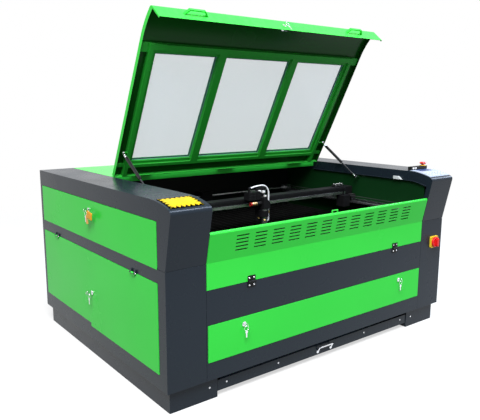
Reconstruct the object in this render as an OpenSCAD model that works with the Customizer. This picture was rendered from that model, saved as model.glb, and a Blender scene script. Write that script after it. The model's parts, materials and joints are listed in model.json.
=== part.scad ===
// Flat-bed gantry laser cutter: two end cabinets, a work chamber between them, a flip-up lid on gas
// struts, a louvred front flap, access doors, a scrap drawer and a belt-driven gantry with its head.
// Lengths are in millimetres. Inside the modules x runs from the left face, y from the front face to
// the rear and z up from the floor. placed() moves that frame to the middle of the footprint.

/* [Cabinet] */
// Width over the two end cabinets
body_w = 1850; // [1600:10:2200]
// Depth from the front face to the rear face
body_d = 1370; // [1340:10:1600]
// Height of the flat top
body_top = 888; // [880:1:940]
// Height of the seam between the pedestals and the top caps
seam_z = 614; // [600:1:630]
// Height of the plinths
plinth_h = 100; // [95:1:120]
// Width of each plinth
plinth_w = 240; // [200:5:280]
// Distance of the plinths from the cabinet's faces
plinth_in = 22; // [10:1:40]
// Width of each end cabinet
end_w = 192; // [180:1:230]
// Thickness of the sheet metal
sheet = 2; // [1.5:0.1:2.5]
// Depth of the band that the caps turn down along their inner edge
cap_band = 55; // [45:1:60]

/* [Console brow] */
// Depth at which the flat top starts to fall to the front
brow_y = 110; // [95:1:125]
// Radius of the falling top
brow_r = 420; // [380:5:480]
// Radius of the rounded front edge
nose_r = 18; // [12:1:22]
// Lean of the front above the seam, in degrees
front_lean = 12; // [9:0.5:14]

/* [Lid] */
// Depth of the lid's hinge line
hinge_y = 856; // [840:1:880]
// Opening angle of the lid in degrees
lid_angle = 62.5; // [45:0.5:75]
// Gap between the lid and the caps on each side
lid_gap = 3; // [2:0.5:5]
// Height of the closed lid's front edge
lip_z = 767; // [762:1:785]
// Depth of the lid's turned-down flanges
lid_flange = 24; // [18:1:26]
// Thickness of the inner lid frame
frame_t = 25; // [20:1:28]
// Width of the outer stiles of the lid frame
stile_w = 38; // [34:1:60]
// Width of the bars between the panes
mullion_w = 44; // [36:1:70]
// Width of the left pane
left_pane_w = 357; // [300:1:400]
// Width of the middle pane
mid_pane_w = 444; // [380:1:480]
// Height of the panes along the lid
pane_h = 586; // [500:1:590]
// Thickness of the panes
pane_t = 5; // [3:0.5:8]

/* [Front flap] */
// Height of the flap's hinge line
flap_hinge_z = 499; // [480:1:520]
// Height of the flap's rolled top edge
flap_top = 748; // [735:1:752]
// Radius of the rolled top edge
roll_r = 9; // [6:0.5:11]
// Number of louvre groups along the flap
louvre_cols = 12; // [4:1:13]
// Number of slots in each louvre group
louvre_rows = 5; // [2:1:5]
// Length of a louvre slot
slot_w = 66; // [40:1:80]
// Height of a louvre slot
slot_h = 6; // [3:0.5:8]

/* [Doors] */
// Depth of a door's folded edge
door_t = 18; // [14:1:22]
// Gap around each door
door_gap = 2; // [1.5:0.5:4]
// Height of the left upper door's opening
upper_door_h = 190; // [150:1:195]
// Distance of the side doors from the front edge
side_door_front = 60; // [50:1:120]
// Distance of the side doors from the rear edge
side_door_rear = 32; // [25:1:120]
// Lower edge of the side lower door's opening
lower_door_z = 180; // [150:1:220]
// Height of the side lower door's opening
lower_door_h = 374; // [300:1:380]
// Lower edge of the front door's opening
front_door_z = 179; // [160:1:220]
// Height of the front door's opening
front_door_h = 168; // [120:1:180]
// Distance of the front door's locks from the cabinet's sides
front_lock_in = 388; // [300:1:600]

/* [Drawer] */
// Lower edge of the drawer front
drawer_z = 25; // [20:1:35]
// Height of the drawer front
drawer_front_h = 50; // [48:1:60]
// Length of the drawer
drawer_l = 735; // [500:5:800]
// Spread of the drawer handle
drawer_handle_w = 92; // [80:1:160]

/* [Gantry] */
// Depth of the beam's front face where the gantry stands
gantry_y = 505; // [480:1:540]
// Depth of the beam
beam_d = 60; // [40:1:80]
// Height of the beam
beam_h = 46; // [42:1:60]
// Height of the beam's underside
beam_z = 714; // [710:1:722]
// Distance of the head's centre from the left face
head_x = 870; // [700:1:1000]
// Width of the head plate
head_w = 64; // [62:1:90]
// Radius of the lens tube
lens_r = 16; // [12:0.5:18]
// Radius of the drive pulleys
pulley_r = 18; // [14:0.5:19]

/* [Table and laser] */
// Height of the table frame's underside
table_z = 528; // [500:1:532]
// Size of the table frame's bars
table_bar = 40; // [30:1:42]
// Number of blades on the table
blade_count = 28; // [10:1:32]
// Radius of the laser tube
tube_r = 40; // [25:1:45]
// Length of the laser tube
tube_l = 1250; // [900:10:1280]
// Radius of the exhaust spigots
spigot_r = 75; // [50:1:90]
// Length of the exhaust spigots
spigot_len = 60; // [40:1:80]

/* [Gas struts] */
// Distance of the struts from the cabinet's sides
strut_x = 218; // [215:0.5:224]
// Distance of the upper stud from the hinge along the lid
strut_s = 154; // [150:1:170]
// Depth of the lower stud
strut_foot_y = 472; // [450:1:480]
// Height of the lower stud
strut_foot_z = 820; // [812:1:824]
// Radius of the strut cylinder
strut_r = 8.5; // [7:0.5:9]
// Length of the strut cylinder
strut_tube_l = 165; // [160:1:168]

/* [Hidden] */
$fn = 48;
over = 1;
seat_gap = 0.3;
run_gap = 0.05;
green = [0.14, 0.62, 0.16];
slate = [0.12, 0.13, 0.16];
black = [0.03, 0.03, 0.035];
bright = [0.72, 0.74, 0.76];
grey = [0.42, 0.44, 0.46];

// Brow outline shared by the caps and the lid, as (y, z) points
lean_up = [-sin(front_lean), cos(front_lean)];
lean_in = [cos(front_lean), sin(front_lean)];
brow_c = [brow_y, body_top - brow_r];
nose_base = [0, seam_z] + nose_r * lean_in;
nose_arm = nose_base - brow_c;
nose_run = sqrt(pow(nose_arm * lean_up, 2) - nose_arm * nose_arm + pow(brow_r - nose_r, 2))
    - nose_arm * lean_up;
nose_c = nose_base + nose_run * lean_up;
nose_up = (nose_c - brow_c) / norm(nose_c - brow_c);
nose_reach = nose_r - nose_c[0];
y_mid = (body_d + spigot_len - nose_reach) / 2;

// Chamber and walls
wall_t = 3;
mid_x0 = end_w;
mid_x1 = body_w - end_w;
wall_x = end_w - sheet;
chamber_x0 = wall_x;
chamber_x1 = body_w - wall_x;
wall_drop = 30;
rear_bay = 248;
rear_wall_y = body_d - rear_bay;
deck_set = 9;
deck_flange = 34;
plinth_t = 3;
seam_gap = 2.5;
seam_deep_share = 0.6;
seam_deep = seam_deep_share * sheet;
panel_gap = 1.5;
band_front = 28;
ledge_w = 10;
ledge_up = 1;

// Doors and locks
door_proud = 2;
door_lip = 12;
lip_back = door_t - door_proud + seat_gap;
side_door_w = body_d - side_door_front - side_door_rear;
front_jamb = 6;
front_door_w = mid_x1 - mid_x0 - 2 * front_jamb;
front_lock_drop = 34;
upper_lock_drop = 47;
lower_lock_drop = 206;
lock_r = 8;
lock_head_r = 11;
lock_head_t = 4;
lock_depth = 24;
cam_w = 12;
cam_l = 28;
cam_t = 2;
key_t = 2;
key_neck = 6;
key_blade_w = 7;
bow_r = 10;
bow_hole_r = 3.5;
ring_r = 11;
ring_t = 0.9;
spare_r = 7;
spare_h = 18;
tag_w = 22;
tag_h = 40;
knuckle_r = 4;
knuckle_pin_r = 2;
knuckle_l = 24;
knuckle_side_l = 12;
knuckle_leaf = 14;
knuckle_end_share = 0.157;
upper_apron = 5.5;
door_step = 17;
door_split_share = 0.472;

// Drawer
drawer_x0 = plinth_in + plinth_w + lid_gap;
drawer_x1 = body_w - drawer_x0;
drawer_set = 25;
drawer_top_z = drawer_z + drawer_front_h;
runner_t = 2;
runner_ledge = 12;
runner_drop = 30;
runner_z = plinth_h - runner_drop;
runner_front = 40;
tray_in = 16;
tray_floor_up = 6;
handle_rod_r = 4;
handle_tilt = 60;
handle_reach = 32;
handle_foot_r = 8;
handle_foot_t = 2;
handle_z_up = 16;

// Flap
flap_x0 = end_w + lid_gap;
flap_x1 = body_w - flap_x0;
flap_gap = 1;
flap_return = 20;
roll_z = flap_top - roll_r;
slot_pitch = 16;
slot_in = 176;
slot_x0 = end_w + slot_in;
slot_up = 38;
slot_z0 = seam_z + slot_up;
leaf_w = 42;
leaf_h = 26;
leaf_t = 3;
hinge_r = 5;
hinge_pin_r = 2;
hinge_y_out = -leaf_t;
flap_hinge_in = 430;
flap_hinge_xs = [flap_hinge_in, body_w - flap_hinge_in];
hinge_mid_share = 0.4;
catch_w = 40;
catch_t = 6;
catch_h = 14;
catch_bar = 4;

// Lid, in its closed pose
lid_x0 = end_w + lid_gap;
lid_x1 = body_w - lid_x0;
lid_set = 9;
lid_hinge_shares = [0.12, 0.5, 0.88];
lid_knuckle_r = 7;
lid_pin_r = 3;
lid_knuckle_l = 50;
lid_knuckle_side = 35;
lid_leaf_t = 4;
lip_cheek = 8;
stile_in = 45;
stile_x0 = lid_x0 + stile_in;
right_stile_in = 63;
rail_s = 65;
pane_s = 98;
bead_w = 16;
bead_step = 10;
pane_lap = 10;
pane_gap = 0.5;
rail_top_w = 44;
frame_x1 = lid_x1 - right_stile_in;
left_pane_x = stile_x0 + stile_w;
mid_pane_x = left_pane_x + left_pane_w + mullion_w;
right_pane_x = mid_pane_x + mid_pane_w + mullion_w;
pane_xs = [left_pane_x, mid_pane_x, right_pane_x];
pane_ws = [left_pane_w, mid_pane_w, frame_x1 - stile_w - right_pane_x];
glass_y1 = hinge_y - pane_s;
glass_y0 = glass_y1 - pane_h;
frame_top = body_top - sheet;
lid_lock_drop = 42;
lid_handle_in = 400;
lid_handle_w = 130;
lid_handle_bar = 84;
lid_handle_drop = 34;
lid_handle_h = 14;
lid_handle_out = 26;
lid_handle_t = 6;

// Gas struts
strut_off = 20;
strut_pin_r = 4;
strut_eye_r = 8;
strut_eye_w = 10;
strut_neck_r = 4.5;
strut_neck_l = 42;
strut_bore_r = 6;
strut_rod_r = 4;
strut_gland = 14;
strut_cap = 8;
strut_grip = 30;
socket_r = 8;
socket_w = 18;
stud_base_r = 11;
stud_base_t = 4;
stud_r = 4;
function lid_swing(p) = [hinge_y, body_top] + [
    cos(lid_angle) * (p[0] - hinge_y) + sin(lid_angle) * (p[1] - body_top),
    -sin(lid_angle) * (p[0] - hinge_y) + cos(lid_angle) * (p[1] - body_top)];
strut_head_closed = [hinge_y - strut_s, body_top - strut_off];
strut_head = lid_swing(strut_head_closed);
strut_foot = [strut_foot_y, strut_foot_z];
strut_run = strut_foot - strut_head;
strut_len = norm(strut_run);
strut_turn = atan2(strut_run[1], strut_run[0]);

// Gantry and drive
rail_in = 30;
rail_x = end_w + rail_in;
y_rail_w = 20;
y_rail_h = 15;
shelf_h = 10;
shelf_d = 60;
y_rail_drop = 40;
y_rail_z = beam_z - y_rail_drop;
y_rail_y0 = 60;
block_w = 38;
block_half_l = 60;
x_rail_h = 15;
x_rail_d = 10;
x_rail_up = 4;
x_rail_z = beam_z + x_rail_up;
beam_over = 10;
beam_x0 = rail_x - beam_over;
beam_x1 = body_w - beam_x0;
beam_wall = 4;
x_rail_in = 70;
shaft_r = 6;
shaft_back = 42;
shaft_y = rear_wall_y - shaft_back;
shaft_up = 16;
shaft_z = y_rail_z + shaft_up;
shaft_in = 14;
shaft_x0 = wall_x + shaft_in;
y_rail_short = 30;
y_rail_y1 = shaft_y - y_rail_short;
belt_w = 10;
belt_t = 2;
belt_out = 37;
belt_x = rail_x + belt_out;
belt_clamp_l = 30;
pulley_w = 14;
flange_up = 4;
flange_r = pulley_r + flange_up;
flange_t = 1.5;
idler_in = 24;
idler_y = y_rail_y0 + idler_in;
bearing_w = 20;
bearing_half = 18;
motor_w = 57;
motor_l = 78;
x_motor_l = 66;
x_motor_gap = 6;
x_pulley_r = 8;
x_pulley_h = 12;
x_shaft_r = 3;
x_belt_h = 10;
x_belt_up = 35;
x_idler_in = 90;
x_plate_t = 2;
head_plate_t = 6;
head_drop = 74;
head_rise = 103;
head_plate_z0 = beam_z - head_drop;
head_plate_z1 = beam_z + head_rise;
head_reach = 34;
head_plate_y = gantry_y - head_reach;
slide_w = 60;
slide_h = 36;
blade_h = 26;
lens_out = 32;
lens_y = head_plate_y - lens_out;
nozzle_gap = 10;
lens_z0 = table_z + table_bar + blade_h + nozzle_gap;
mirror_w = 46;
mirror_h = 62;
tube_drop = 148;
tube_z = body_top - tube_drop;
lens_z1 = tube_z - mirror_h / 2;
nozzle_h = 26;
nozzle_r = 4;
clamp_h = 34;
clamp_wall = 8;
clamp_drop = 44;
clamp_z = lens_z1 - clamp_drop;
mirror_z0 = lens_z1;
mirror_foot_t = 3;
entry_r = 11;
entry_l = 34;
mirror_cut_share = 0.45;
aperture_r = 8;
chain_w = 76;
chain_h = 43;
chain_up = 47;
chain_ribs = 3;
chain_groove = 3;
chain_x0 = head_x - head_w / 2 - chain_w;
chain_z0 = beam_z + chain_up;
chain_z1 = chain_z0 + chain_h;
hose_r = 4;
hose_gap = 1;
hose_x = head_x + lens_r + clamp_wall + hose_gap + hose_r;
hose_y = lens_y;
hose_over = 18;
hose_arch_r = 48;
hose_arch_z = head_plate_z1 + hose_over - hose_arch_r;
hose_bend_r = 11;
barb_up = 10;
hose_low_z = lens_z0 + nozzle_h + barb_up + hose_bend_r;
hose_tab_w = 12;
hose_drop = 9;
hose_run = hose_x - hose_arch_r - chain_x0 - hose_tab_w;
hose_sweep = 2 * atan2(hose_drop, hose_run);
hose_long_r = hose_run / sin(hose_sweep);
hose_end_z = hose_arch_z + hose_arch_r - hose_drop;
barb_l = 12;
barb_wall = 2;

// Table, tube and electronics
table_in = 80;
table_x0 = end_w + table_in;
table_x1 = body_w - table_x0;
table_y0 = 70;
table_back = 112;
table_y1 = rear_wall_y - table_back;
table_lug_w = 60;
table_lug_shares = [0.15, 0.85];
blade_t = 3;
comb_t = 6;
comb_h = 10;
tube_back = 124;
tube_y = rear_wall_y + tube_back;
tube_end_r = 22;
tube_end_l = 30;
clamp_shares = [0.2, 0.8];
tube_clamp_l = 40;
tube_clamp_wall = 14;
tube_gap = 8;
tube_x0 = rail_x + block_w + mirror_w / 2 + tube_gap + tube_end_l;
psu_size = [120, 260, 190];
psu_y = 560;
ctrl_size = [48, 300, 220];
ctrl_y = 180;
ctrl_z = 250;
spigot_wall = 2;
spigot_z = 300;
spigot_in = 520;
beam_hole_r = 14;

// Consoles
panel_side = 6;
panel_y0 = -30;
panel_y1 = 104;
panel_t = 3;
panel_edge = 6;
pad_cols = 6;
pad_rows = 3;
pad_w = 16;
pad_d = 12;
pad_pitch = 26;
pad_row = 18;
pad_rise = 1;
pad_front = 16;
screen_w = 96;
screen_d = 40;
screen_t = 2;
box_w = 145;
box_d = 26;
box_h = 20;
box_set = 2;
box_y = brow_y + box_set;
box_in = 15;
stop_r = 20;
stop_stem_r = 8;
stop_collar_r = 12;
stop_collar_h = 3;
stop_lift = 6;
stop_head_h = 12;
stop_in = 24;
stop_bore = box_h - over;
switch_l = 54;
switch_h = 16;
switch_t = 16;
switch_set = 38;
switch_y = brow_y + switch_set;
switch_z = body_top - cap_band + sheet + ledge_up;
switch_slope_share = 0.4;
isolator_w = 66;
isolator_r = 8;
isolator_t = 10;
isolator_in = 76;
isolator_z = 482;
dial_r = 30;
dial_t = 10;
grip_w = 14;
grip_l = 58;
grip_t = 18;
dial_stem_r = 6;

// Placing helpers
module placed() {
    translate([-body_w / 2, -y_mid, 0])
        children();
}
module block(lo, hi) {
    translate(lo)
        cube(hi - lo);
}
module along_x(x0, x1) {
    translate([x0, 0, 0])
        rotate([90, 0, 90])
            linear_extrude(x1 - x0)
                children();
}
module rod_x(r, x0, x1, y, z) {
    translate([x0, y, z])
        rotate([0, 90, 0])
            cylinder(r = r, h = x1 - x0);
}
module rod_y(r, y0, y1, x, z) {
    translate([x, y0, z])
        rotate([-90, 0, 0])
            cylinder(r = r, h = y1 - y0);
}
module mirrored() {
    translate([body_w, 0, 0])
        mirror([1, 0, 0])
            children();
}
module both_sides() {
    children();
    mirrored()
        children();
}
// Face frames: x along the face to the right, y up, z outwards
module on_front(x, z) {
    translate([x, 0, z])
        rotate([90, 0, 0])
            children();
}
module on_left(y, z) {
    translate([0, y, z])
        rotate([90, 0, -90])
            children();
}
module on_lip(x, drop) {
    at = nose_c - nose_r * lean_in - drop * lean_up;
    translate([x, at[0], at[1]])
        rotate([90 + front_lean, 0, 0])
            children();
}
module lid_open() {
    translate([0, hinge_y, body_top])
        rotate([-lid_angle, 0, 0])
            translate([0, -hinge_y, -body_top])
                children();
}

// Region behind the slanted front and under the brow, shrunk by inset, with a square front corner
module sharp_outline(inset, y_back, z_low, front = undef) {
    lean_gap = (is_undef(front) ? inset : front) / cos(front_lean);
    foot_y = lean_gap - (z_low - seam_z) * tan(front_lean);
    head_y = lean_gap - (body_top - seam_z) * tan(front_lean);
    intersection() {
        polygon([[foot_y, z_low], [head_y, body_top], [y_back, body_top], [y_back, z_low]]);
        union() {
            translate(brow_c)
                circle(r = brow_r - inset, $fn = 180);
            translate([brow_y, z_low])
                square([y_back - brow_y, body_top - inset - z_low]);
        }
    }
}
// The same region with the rounded nose
module brow_outline(inset, y_back, z_low) {
    far = 3 * nose_r;
    difference() {
        sharp_outline(inset, y_back, z_low);
        difference() {
            polygon([nose_c, nose_c - far * lean_in, nose_c + far * (nose_up - lean_in),
                nose_c + far * nose_up]);
            translate(nose_c)
                circle(r = nose_r - inset);
        }
    }
}

// Doors: outline, opening, frame behind it, folded panel and lock, in the face frame.
// A step lowers the outline's bottom edge beyond the split.
module door_outline(w, h, inset, step) {
    split = w * door_split_share + inset;
    low = inset - step;
    foot = step > 0 ? [[split, inset], [split, low], [w - inset, low]] : [[w - inset, inset]];
    polygon(concat([[inset, inset]], foot, [[w - inset, h - inset], [inset, h - inset]]));
}
module door_slab(w, h, inset, step, z0, z1) {
    translate([0, 0, z0])
        linear_extrude(z1 - z0)
            door_outline(w, h, inset, step);
}
module door_cut(w, h, step = 0) {
    door_slab(w, h, 0, step, -sheet - over, over);
}
module door_frame(w, h, step = 0) {
    back = lip_back + sheet;
    difference() {
        door_slab(w, h, -sheet, step, -back, 0);
        door_slab(w, h, 0, step, -lip_back, over);
        door_slab(w, h, door_lip, step, -back - over, over);
    }
}
module door_panel(w, h, locks, step = 0) {
    difference() {
        door_slab(w, h, door_gap, step, door_proud - door_t, door_proud);
        door_slab(w, h, door_gap + sheet, step, door_proud - door_t - over, door_proud - sheet);
        for (p = locks)
            translate([p[0], p[1], -door_t])
                cylinder(r = lock_r + run_gap, h = 2 * door_t);
    }
}
module cam_lock() {
    bow_z = lock_head_t + key_neck + bow_r - over;
    color(bright) {
        translate([0, 0, -lock_depth])
            cylinder(r = lock_r, h = lock_depth + lock_head_t);
        translate([0, 0, seat_gap])
            cylinder(r = lock_head_r, h = lock_head_t - seat_gap);
        translate([0, -cam_w / 2, -lock_depth])
            cube([cam_l, cam_w, cam_t]);
        translate([-key_t / 2, -key_blade_w / 2, 0])
            cube([key_t, key_blade_w, bow_z]);
        translate([-key_t / 2, 0, bow_z])
            rotate([0, 90, 0])
                difference() {
                    cylinder(r = bow_r, h = key_t);
                    translate([0, bow_hole_r - bow_r / 2, -over])
                        cylinder(r = bow_hole_r, h = key_t + 2 * over);
                }
    }
}
module key_ring() {
    bow_z = lock_head_t + key_neck + bow_r - over;
    ring_y = bow_hole_r - bow_r / 2 - bow_hole_r + ring_t + over / 2 - ring_r;
    color(bright) {
        translate([0, ring_y, bow_z])
            rotate_extrude()
                translate([ring_r, 0])
                    circle(r = ring_t);
        translate([0, ring_y - ring_r - spare_r + ring_t, bow_z - key_t / 2]) {
            cylinder(r = spare_r, h = key_t);
            translate([-key_blade_w / 2, -spare_r - spare_h, 0])
                cube([key_blade_w, spare_h + spare_r, key_t]);
        }
    }
}
module key_tag() {
    bow_z = lock_head_t + key_neck + bow_r - over;
    tag_y = -2 * ring_r - tag_h;
    color([0.9, 0.4, 0.08])
        translate([spare_r - 2 * over, tag_y - over, bow_z - key_t / 2])
            cube([tag_w, tag_h, key_t]);
}
// Top-hung door hinges: the outer knuckles and pin stay, the middle knuckle swings
module knuckle_posts(w, h, fixed) {
    axis_y = h - door_gap / 2;
    axis_z = door_proud + knuckle_r + seat_gap;
    for (x = [w * knuckle_end_share, w * (1 - knuckle_end_share)])
        translate([x, axis_y, axis_z])
            if (fixed) {
                for (side = [-1, 1])
                    translate([side * (knuckle_l + knuckle_side_l + 2 * seat_gap) / 2, 0, 0])
                        knuckle_leaf_and_barrel(knuckle_side_l, 1, 0);
                rotate([0, 90, 0])
                    cylinder(r = knuckle_pin_r, h = knuckle_l + knuckle_side_l, center = true);
            } else {
                knuckle_leaf_and_barrel(knuckle_l, -1, knuckle_pin_r + run_gap);
            }
}
module knuckle_leaf_and_barrel(len, up, bore) {
    door_back = knuckle_r + seat_gap;
    leaf_back = up > 0 ? door_back + door_proud : door_back;
    difference() {
        union() {
            rotate([0, 90, 0])
                cylinder(r = knuckle_r, h = len, center = true);
            translate([-len / 2, up > 0 ? 0 : -knuckle_leaf, -leaf_back])
                cube([len, knuckle_leaf, leaf_back]);
        }
        rotate([0, 90, 0])
            cylinder(r = bore, h = len + 2 * over, center = true);
    }
}

// Cabinet shells
module plinth() {
    difference() {
        block([plinth_in, plinth_in, 0], [plinth_in + plinth_w, body_d - plinth_in, plinth_h]);
        block([plinth_in + plinth_t, plinth_in + plinth_t, plinth_t],
            [plinth_in + plinth_w - plinth_t, body_d - plinth_in - plinth_t, plinth_h + over]);
    }
}
module plinths() {
    color(slate)
        both_sides()
            plinth();
}
module pedestal() {
    color(slate) {
        difference() {
            block([0, 0, plinth_h], [end_w, body_d, seam_z]);
            block([sheet, sheet, plinth_h + sheet], [end_w + over, body_d - sheet, seam_z + over]);
            difference() {
                block([-over, -over, seam_z - seam_gap], [end_w + over, body_d + over, seam_z + over]);
                block([seam_deep, seam_deep, seam_z - seam_gap - over],
                    [end_w + 2 * over, body_d - seam_deep, seam_z + 2 * over]);
            }
            on_left(body_d - side_door_rear, lower_door_z)
                door_cut(side_door_w, lower_door_h, door_step);
        }
        on_left(body_d - side_door_rear, lower_door_z) {
            door_frame(side_door_w, lower_door_h, door_step);
            knuckle_posts(side_door_w, lower_door_h, true);
        }
    }
}
module left_pedestal() {
    pedestal();
}
module right_pedestal() {
    mirrored()
        pedestal();
}
module cap_shell() {
    difference() {
        along_x(0, end_w)
            brow_outline(0, body_d, seam_z);
        along_x(sheet, end_w - sheet)
            brow_outline(sheet, body_d - sheet, seam_z - over);
        along_x(end_w - sheet - over, end_w + over)
            sharp_outline(cap_band, body_d - cap_band, seam_z - over, band_front);
    }
    cap_ledge();
}
// Narrow fold along the band's lower edge, beside the lid's opening
module cap_ledge() {
    difference() {
        along_x(end_w - sheet / 2, end_w + ledge_w)
            sharp_outline(cap_band - sheet - ledge_up, hinge_y, seam_z, band_front + ledge_up);
        along_x(end_w - sheet, end_w + ledge_w + over)
            sharp_outline(cap_band - ledge_up, hinge_y + over, seam_z - over, band_front);
    }
}
module left_cap() {
    color(slate) {
        difference() {
            cap_shell();
            on_left(body_d - side_door_rear, seam_z + sheet)
                door_cut(side_door_w, upper_door_h);
        }
        on_left(body_d - side_door_rear, seam_z + sheet)
            door_frame(side_door_w, upper_door_h);
    }
}
module right_cap() {
    color(slate)
        mirrored()
            cap_shell();
}
module chamber_wall() {
    color(slate) {
        block([wall_x - wall_t, sheet, plinth_h + sheet],
            [wall_x, rear_wall_y + sheet, body_top - wall_drop]);
        rod_x(stud_base_r, wall_x, wall_x + stud_base_t, strut_foot[0], strut_foot[1]);
        rod_x(stud_r, wall_x, strut_x - socket_w / 2 - seat_gap, strut_foot[0], strut_foot[1]);
    }
}
module left_wall() {
    chamber_wall();
}
module right_wall() {
    mirrored()
        chamber_wall();
}
module rear_wall() {
    color(black)
        difference() {
            block([mid_x0, rear_wall_y, plinth_h + sheet],
                [mid_x1, rear_wall_y + sheet, body_top - sheet]);
            translate([0, rear_wall_y - over, 0])
                rod_y(beam_hole_r, 0, sheet + 2 * over, rail_x + block_w, tube_z);
        }
}
module front_panel() {
    panel_top = flap_hinge_z - flap_gap;
    color(slate) {
        difference() {
            block([mid_x0 + panel_gap, 0, plinth_h], [mid_x1 - panel_gap, sheet, panel_top]);
            on_front(mid_x0 + front_jamb, front_door_z)
                door_cut(front_door_w, front_door_h);
        }
        on_front(mid_x0 + front_jamb, front_door_z)
            door_frame(front_door_w, front_door_h);
        block([mid_x0 + panel_gap, 0, panel_top - sheet],
            [mid_x1 - panel_gap, flap_return, panel_top]);
    }
}
module rear_panel() {
    spigot_xs = [spigot_in, body_w - spigot_in];
    color(slate)
        difference() {
            union() {
                block([mid_x0, body_d - sheet, plinth_h], [mid_x1, body_d, body_top - sheet]);
                for (x = spigot_xs)
                    rod_y(spigot_r, body_d - sheet, body_d + spigot_len, x, spigot_z);
            }
            for (x = spigot_xs)
                rod_y(spigot_r - spigot_wall, body_d - sheet - over, body_d + spigot_len + over,
                    x, spigot_z);
        }
}
module lid_knuckles(fixed) {
    half = lid_knuckle_l / 2;
    for (share = lid_hinge_shares) {
        x = lid_x0 + share * (lid_x1 - lid_x0);
        if (fixed) {
            for (x0 = [x - half - seat_gap - lid_knuckle_side, x + half + seat_gap]) {
                rod_x(lid_knuckle_r, x0, x0 + lid_knuckle_side, hinge_y, body_top);
                block([x0, hinge_y, body_top - lid_leaf_t],
                    [x0 + lid_knuckle_side, hinge_y + deck_set + sheet, body_top]);
            }
            rod_x(lid_pin_r, x - half - lid_knuckle_side, x + half + lid_knuckle_side,
                hinge_y, body_top);
        } else {
            difference() {
                union() {
                    rod_x(lid_knuckle_r, x - half, x + half, hinge_y, body_top);
                    block([x - half, hinge_y - lid_set - sheet, body_top - lid_leaf_t],
                        [x + half, hinge_y, body_top]);
                }
                rod_x(lid_pin_r + run_gap, x - half - over, x + half + over, hinge_y, body_top);
            }
        }
    }
}
module rear_deck() {
    deck_y = hinge_y + deck_set;
    color(green) {
        block([lid_x0, deck_y, body_top - sheet], [lid_x1, body_d, body_top]);
        block([lid_x0, deck_y, body_top - deck_flange], [lid_x1, deck_y + sheet, body_top]);
        lid_knuckles(true);
    }
}
module floor_pan() {
    hole_in = tray_in + runner_ledge;
    color(black) {
        difference() {
            block([mid_x0, sheet, plinth_h], [mid_x1, body_d - sheet, plinth_h + sheet]);
            block([drawer_x0 + hole_in, 2 * drawer_set, plinth_h - over],
                [drawer_x1 - hole_in, drawer_l - drawer_set, plinth_h + sheet + over]);
        }
        both_sides() {
            block([drawer_x0, drawer_set + runner_front, runner_z],
                [drawer_x0 + runner_t, drawer_set + drawer_l, plinth_h]);
            block([drawer_x0, drawer_set + runner_front, runner_z],
                [drawer_x0 + runner_ledge, drawer_set + drawer_l, runner_z + runner_t]);
        }
    }
}

// Table
module table_frame() {
    top = table_z + table_bar;
    run = table_y1 - table_y0;
    color(grey) {
        difference() {
            block([table_x0, table_y0, table_z], [table_x1, table_y1, top]);
            block([table_x0 + table_bar, table_y0 + table_bar, table_z - over],
                [table_x1 - table_bar, table_y1 - table_bar, top + over]);
        }
        both_sides()
            for (share = table_lug_shares)
                translate([0, table_y0 + share * run - table_lug_w / 2, 0])
                    block([chamber_x0, 0, table_z], [table_x0, table_lug_w, table_z + wall_t]);
    }
}
module blade_slats() {
    top = table_z + table_bar;
    span = table_x1 - table_x0 - table_bar;
    pitch = span / (blade_count - 1);
    color(bright) {
        for (i = [0 : blade_count - 1])
            translate([table_x0 + table_bar / 2 + i * pitch - blade_t / 2, table_y0, top])
                cube([blade_t, table_y1 - table_y0, blade_h]);
        for (y = [table_y0 + comb_t, table_y1 - 2 * comb_t])
            block([table_x0, y, top], [table_x1, y + comb_t, top + comb_h]);
    }
}

// Gantry drive on the cabinet
module y_rail() {
    block([wall_x, y_rail_y0, y_rail_z - shelf_h],
        [wall_x + shelf_d, shaft_y + bearing_half, y_rail_z]);
    block([rail_x, y_rail_y0, y_rail_z], [rail_x + y_rail_w, y_rail_y1, y_rail_z + y_rail_h]);
    difference() {
        block([rail_x - bearing_w / 2, shaft_y - bearing_half, y_rail_z],
            [rail_x + bearing_w, shaft_y + bearing_half, shaft_z + bearing_half]);
        rod_x(shaft_r + run_gap, wall_x, rail_x + shelf_d, shaft_y, shaft_z);
    }
    rod_x(pulley_r, belt_x - bearing_w, belt_x + belt_w, idler_y, shaft_z);
    block([belt_x - bearing_w, idler_y - pulley_r / 2, y_rail_z - shelf_h],
        [belt_x - pulley_w / 2, idler_y + pulley_r / 2, shaft_z]);
}
module y_rails() {
    color(bright)
        both_sides()
            y_rail();
}
module belt_loop(r) {
    translate([idler_y, shaft_z])
        circle(r = r);
    translate([shaft_y, shaft_z])
        circle(r = r);
    translate([idler_y, shaft_z - r])
        square([shaft_y - idler_y, 2 * r]);
}
module y_belts() {
    inner = pulley_r + seat_gap;
    color(black)
        both_sides()
            along_x(belt_x, belt_x + belt_w)
                difference() {
                    belt_loop(inner + belt_t);
                    belt_loop(inner);
                }
}
module y_drive_shaft() {
    color(bright) {
        rod_x(shaft_r, shaft_x0, body_w - shaft_x0, shaft_y, shaft_z);
        both_sides() {
            rod_x(pulley_r, belt_x - seat_gap, belt_x + pulley_w, shaft_y, shaft_z);
            rod_x(flange_r, belt_x + belt_w + seat_gap, belt_x + belt_w + seat_gap + flange_t,
                shaft_y, shaft_z);
        }
    }
}
module y_motor() {
    x0 = (body_w - motor_l) / 2;
    color(black)
        difference() {
            block([x0, shaft_y - motor_w / 2, shaft_z - motor_w / 2],
                [x0 + motor_l, rear_wall_y, shaft_z + motor_w / 2]);
            rod_x(shaft_r + run_gap, x0 - over, x0 + motor_l + over, shaft_y, shaft_z);
        }
}

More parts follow.
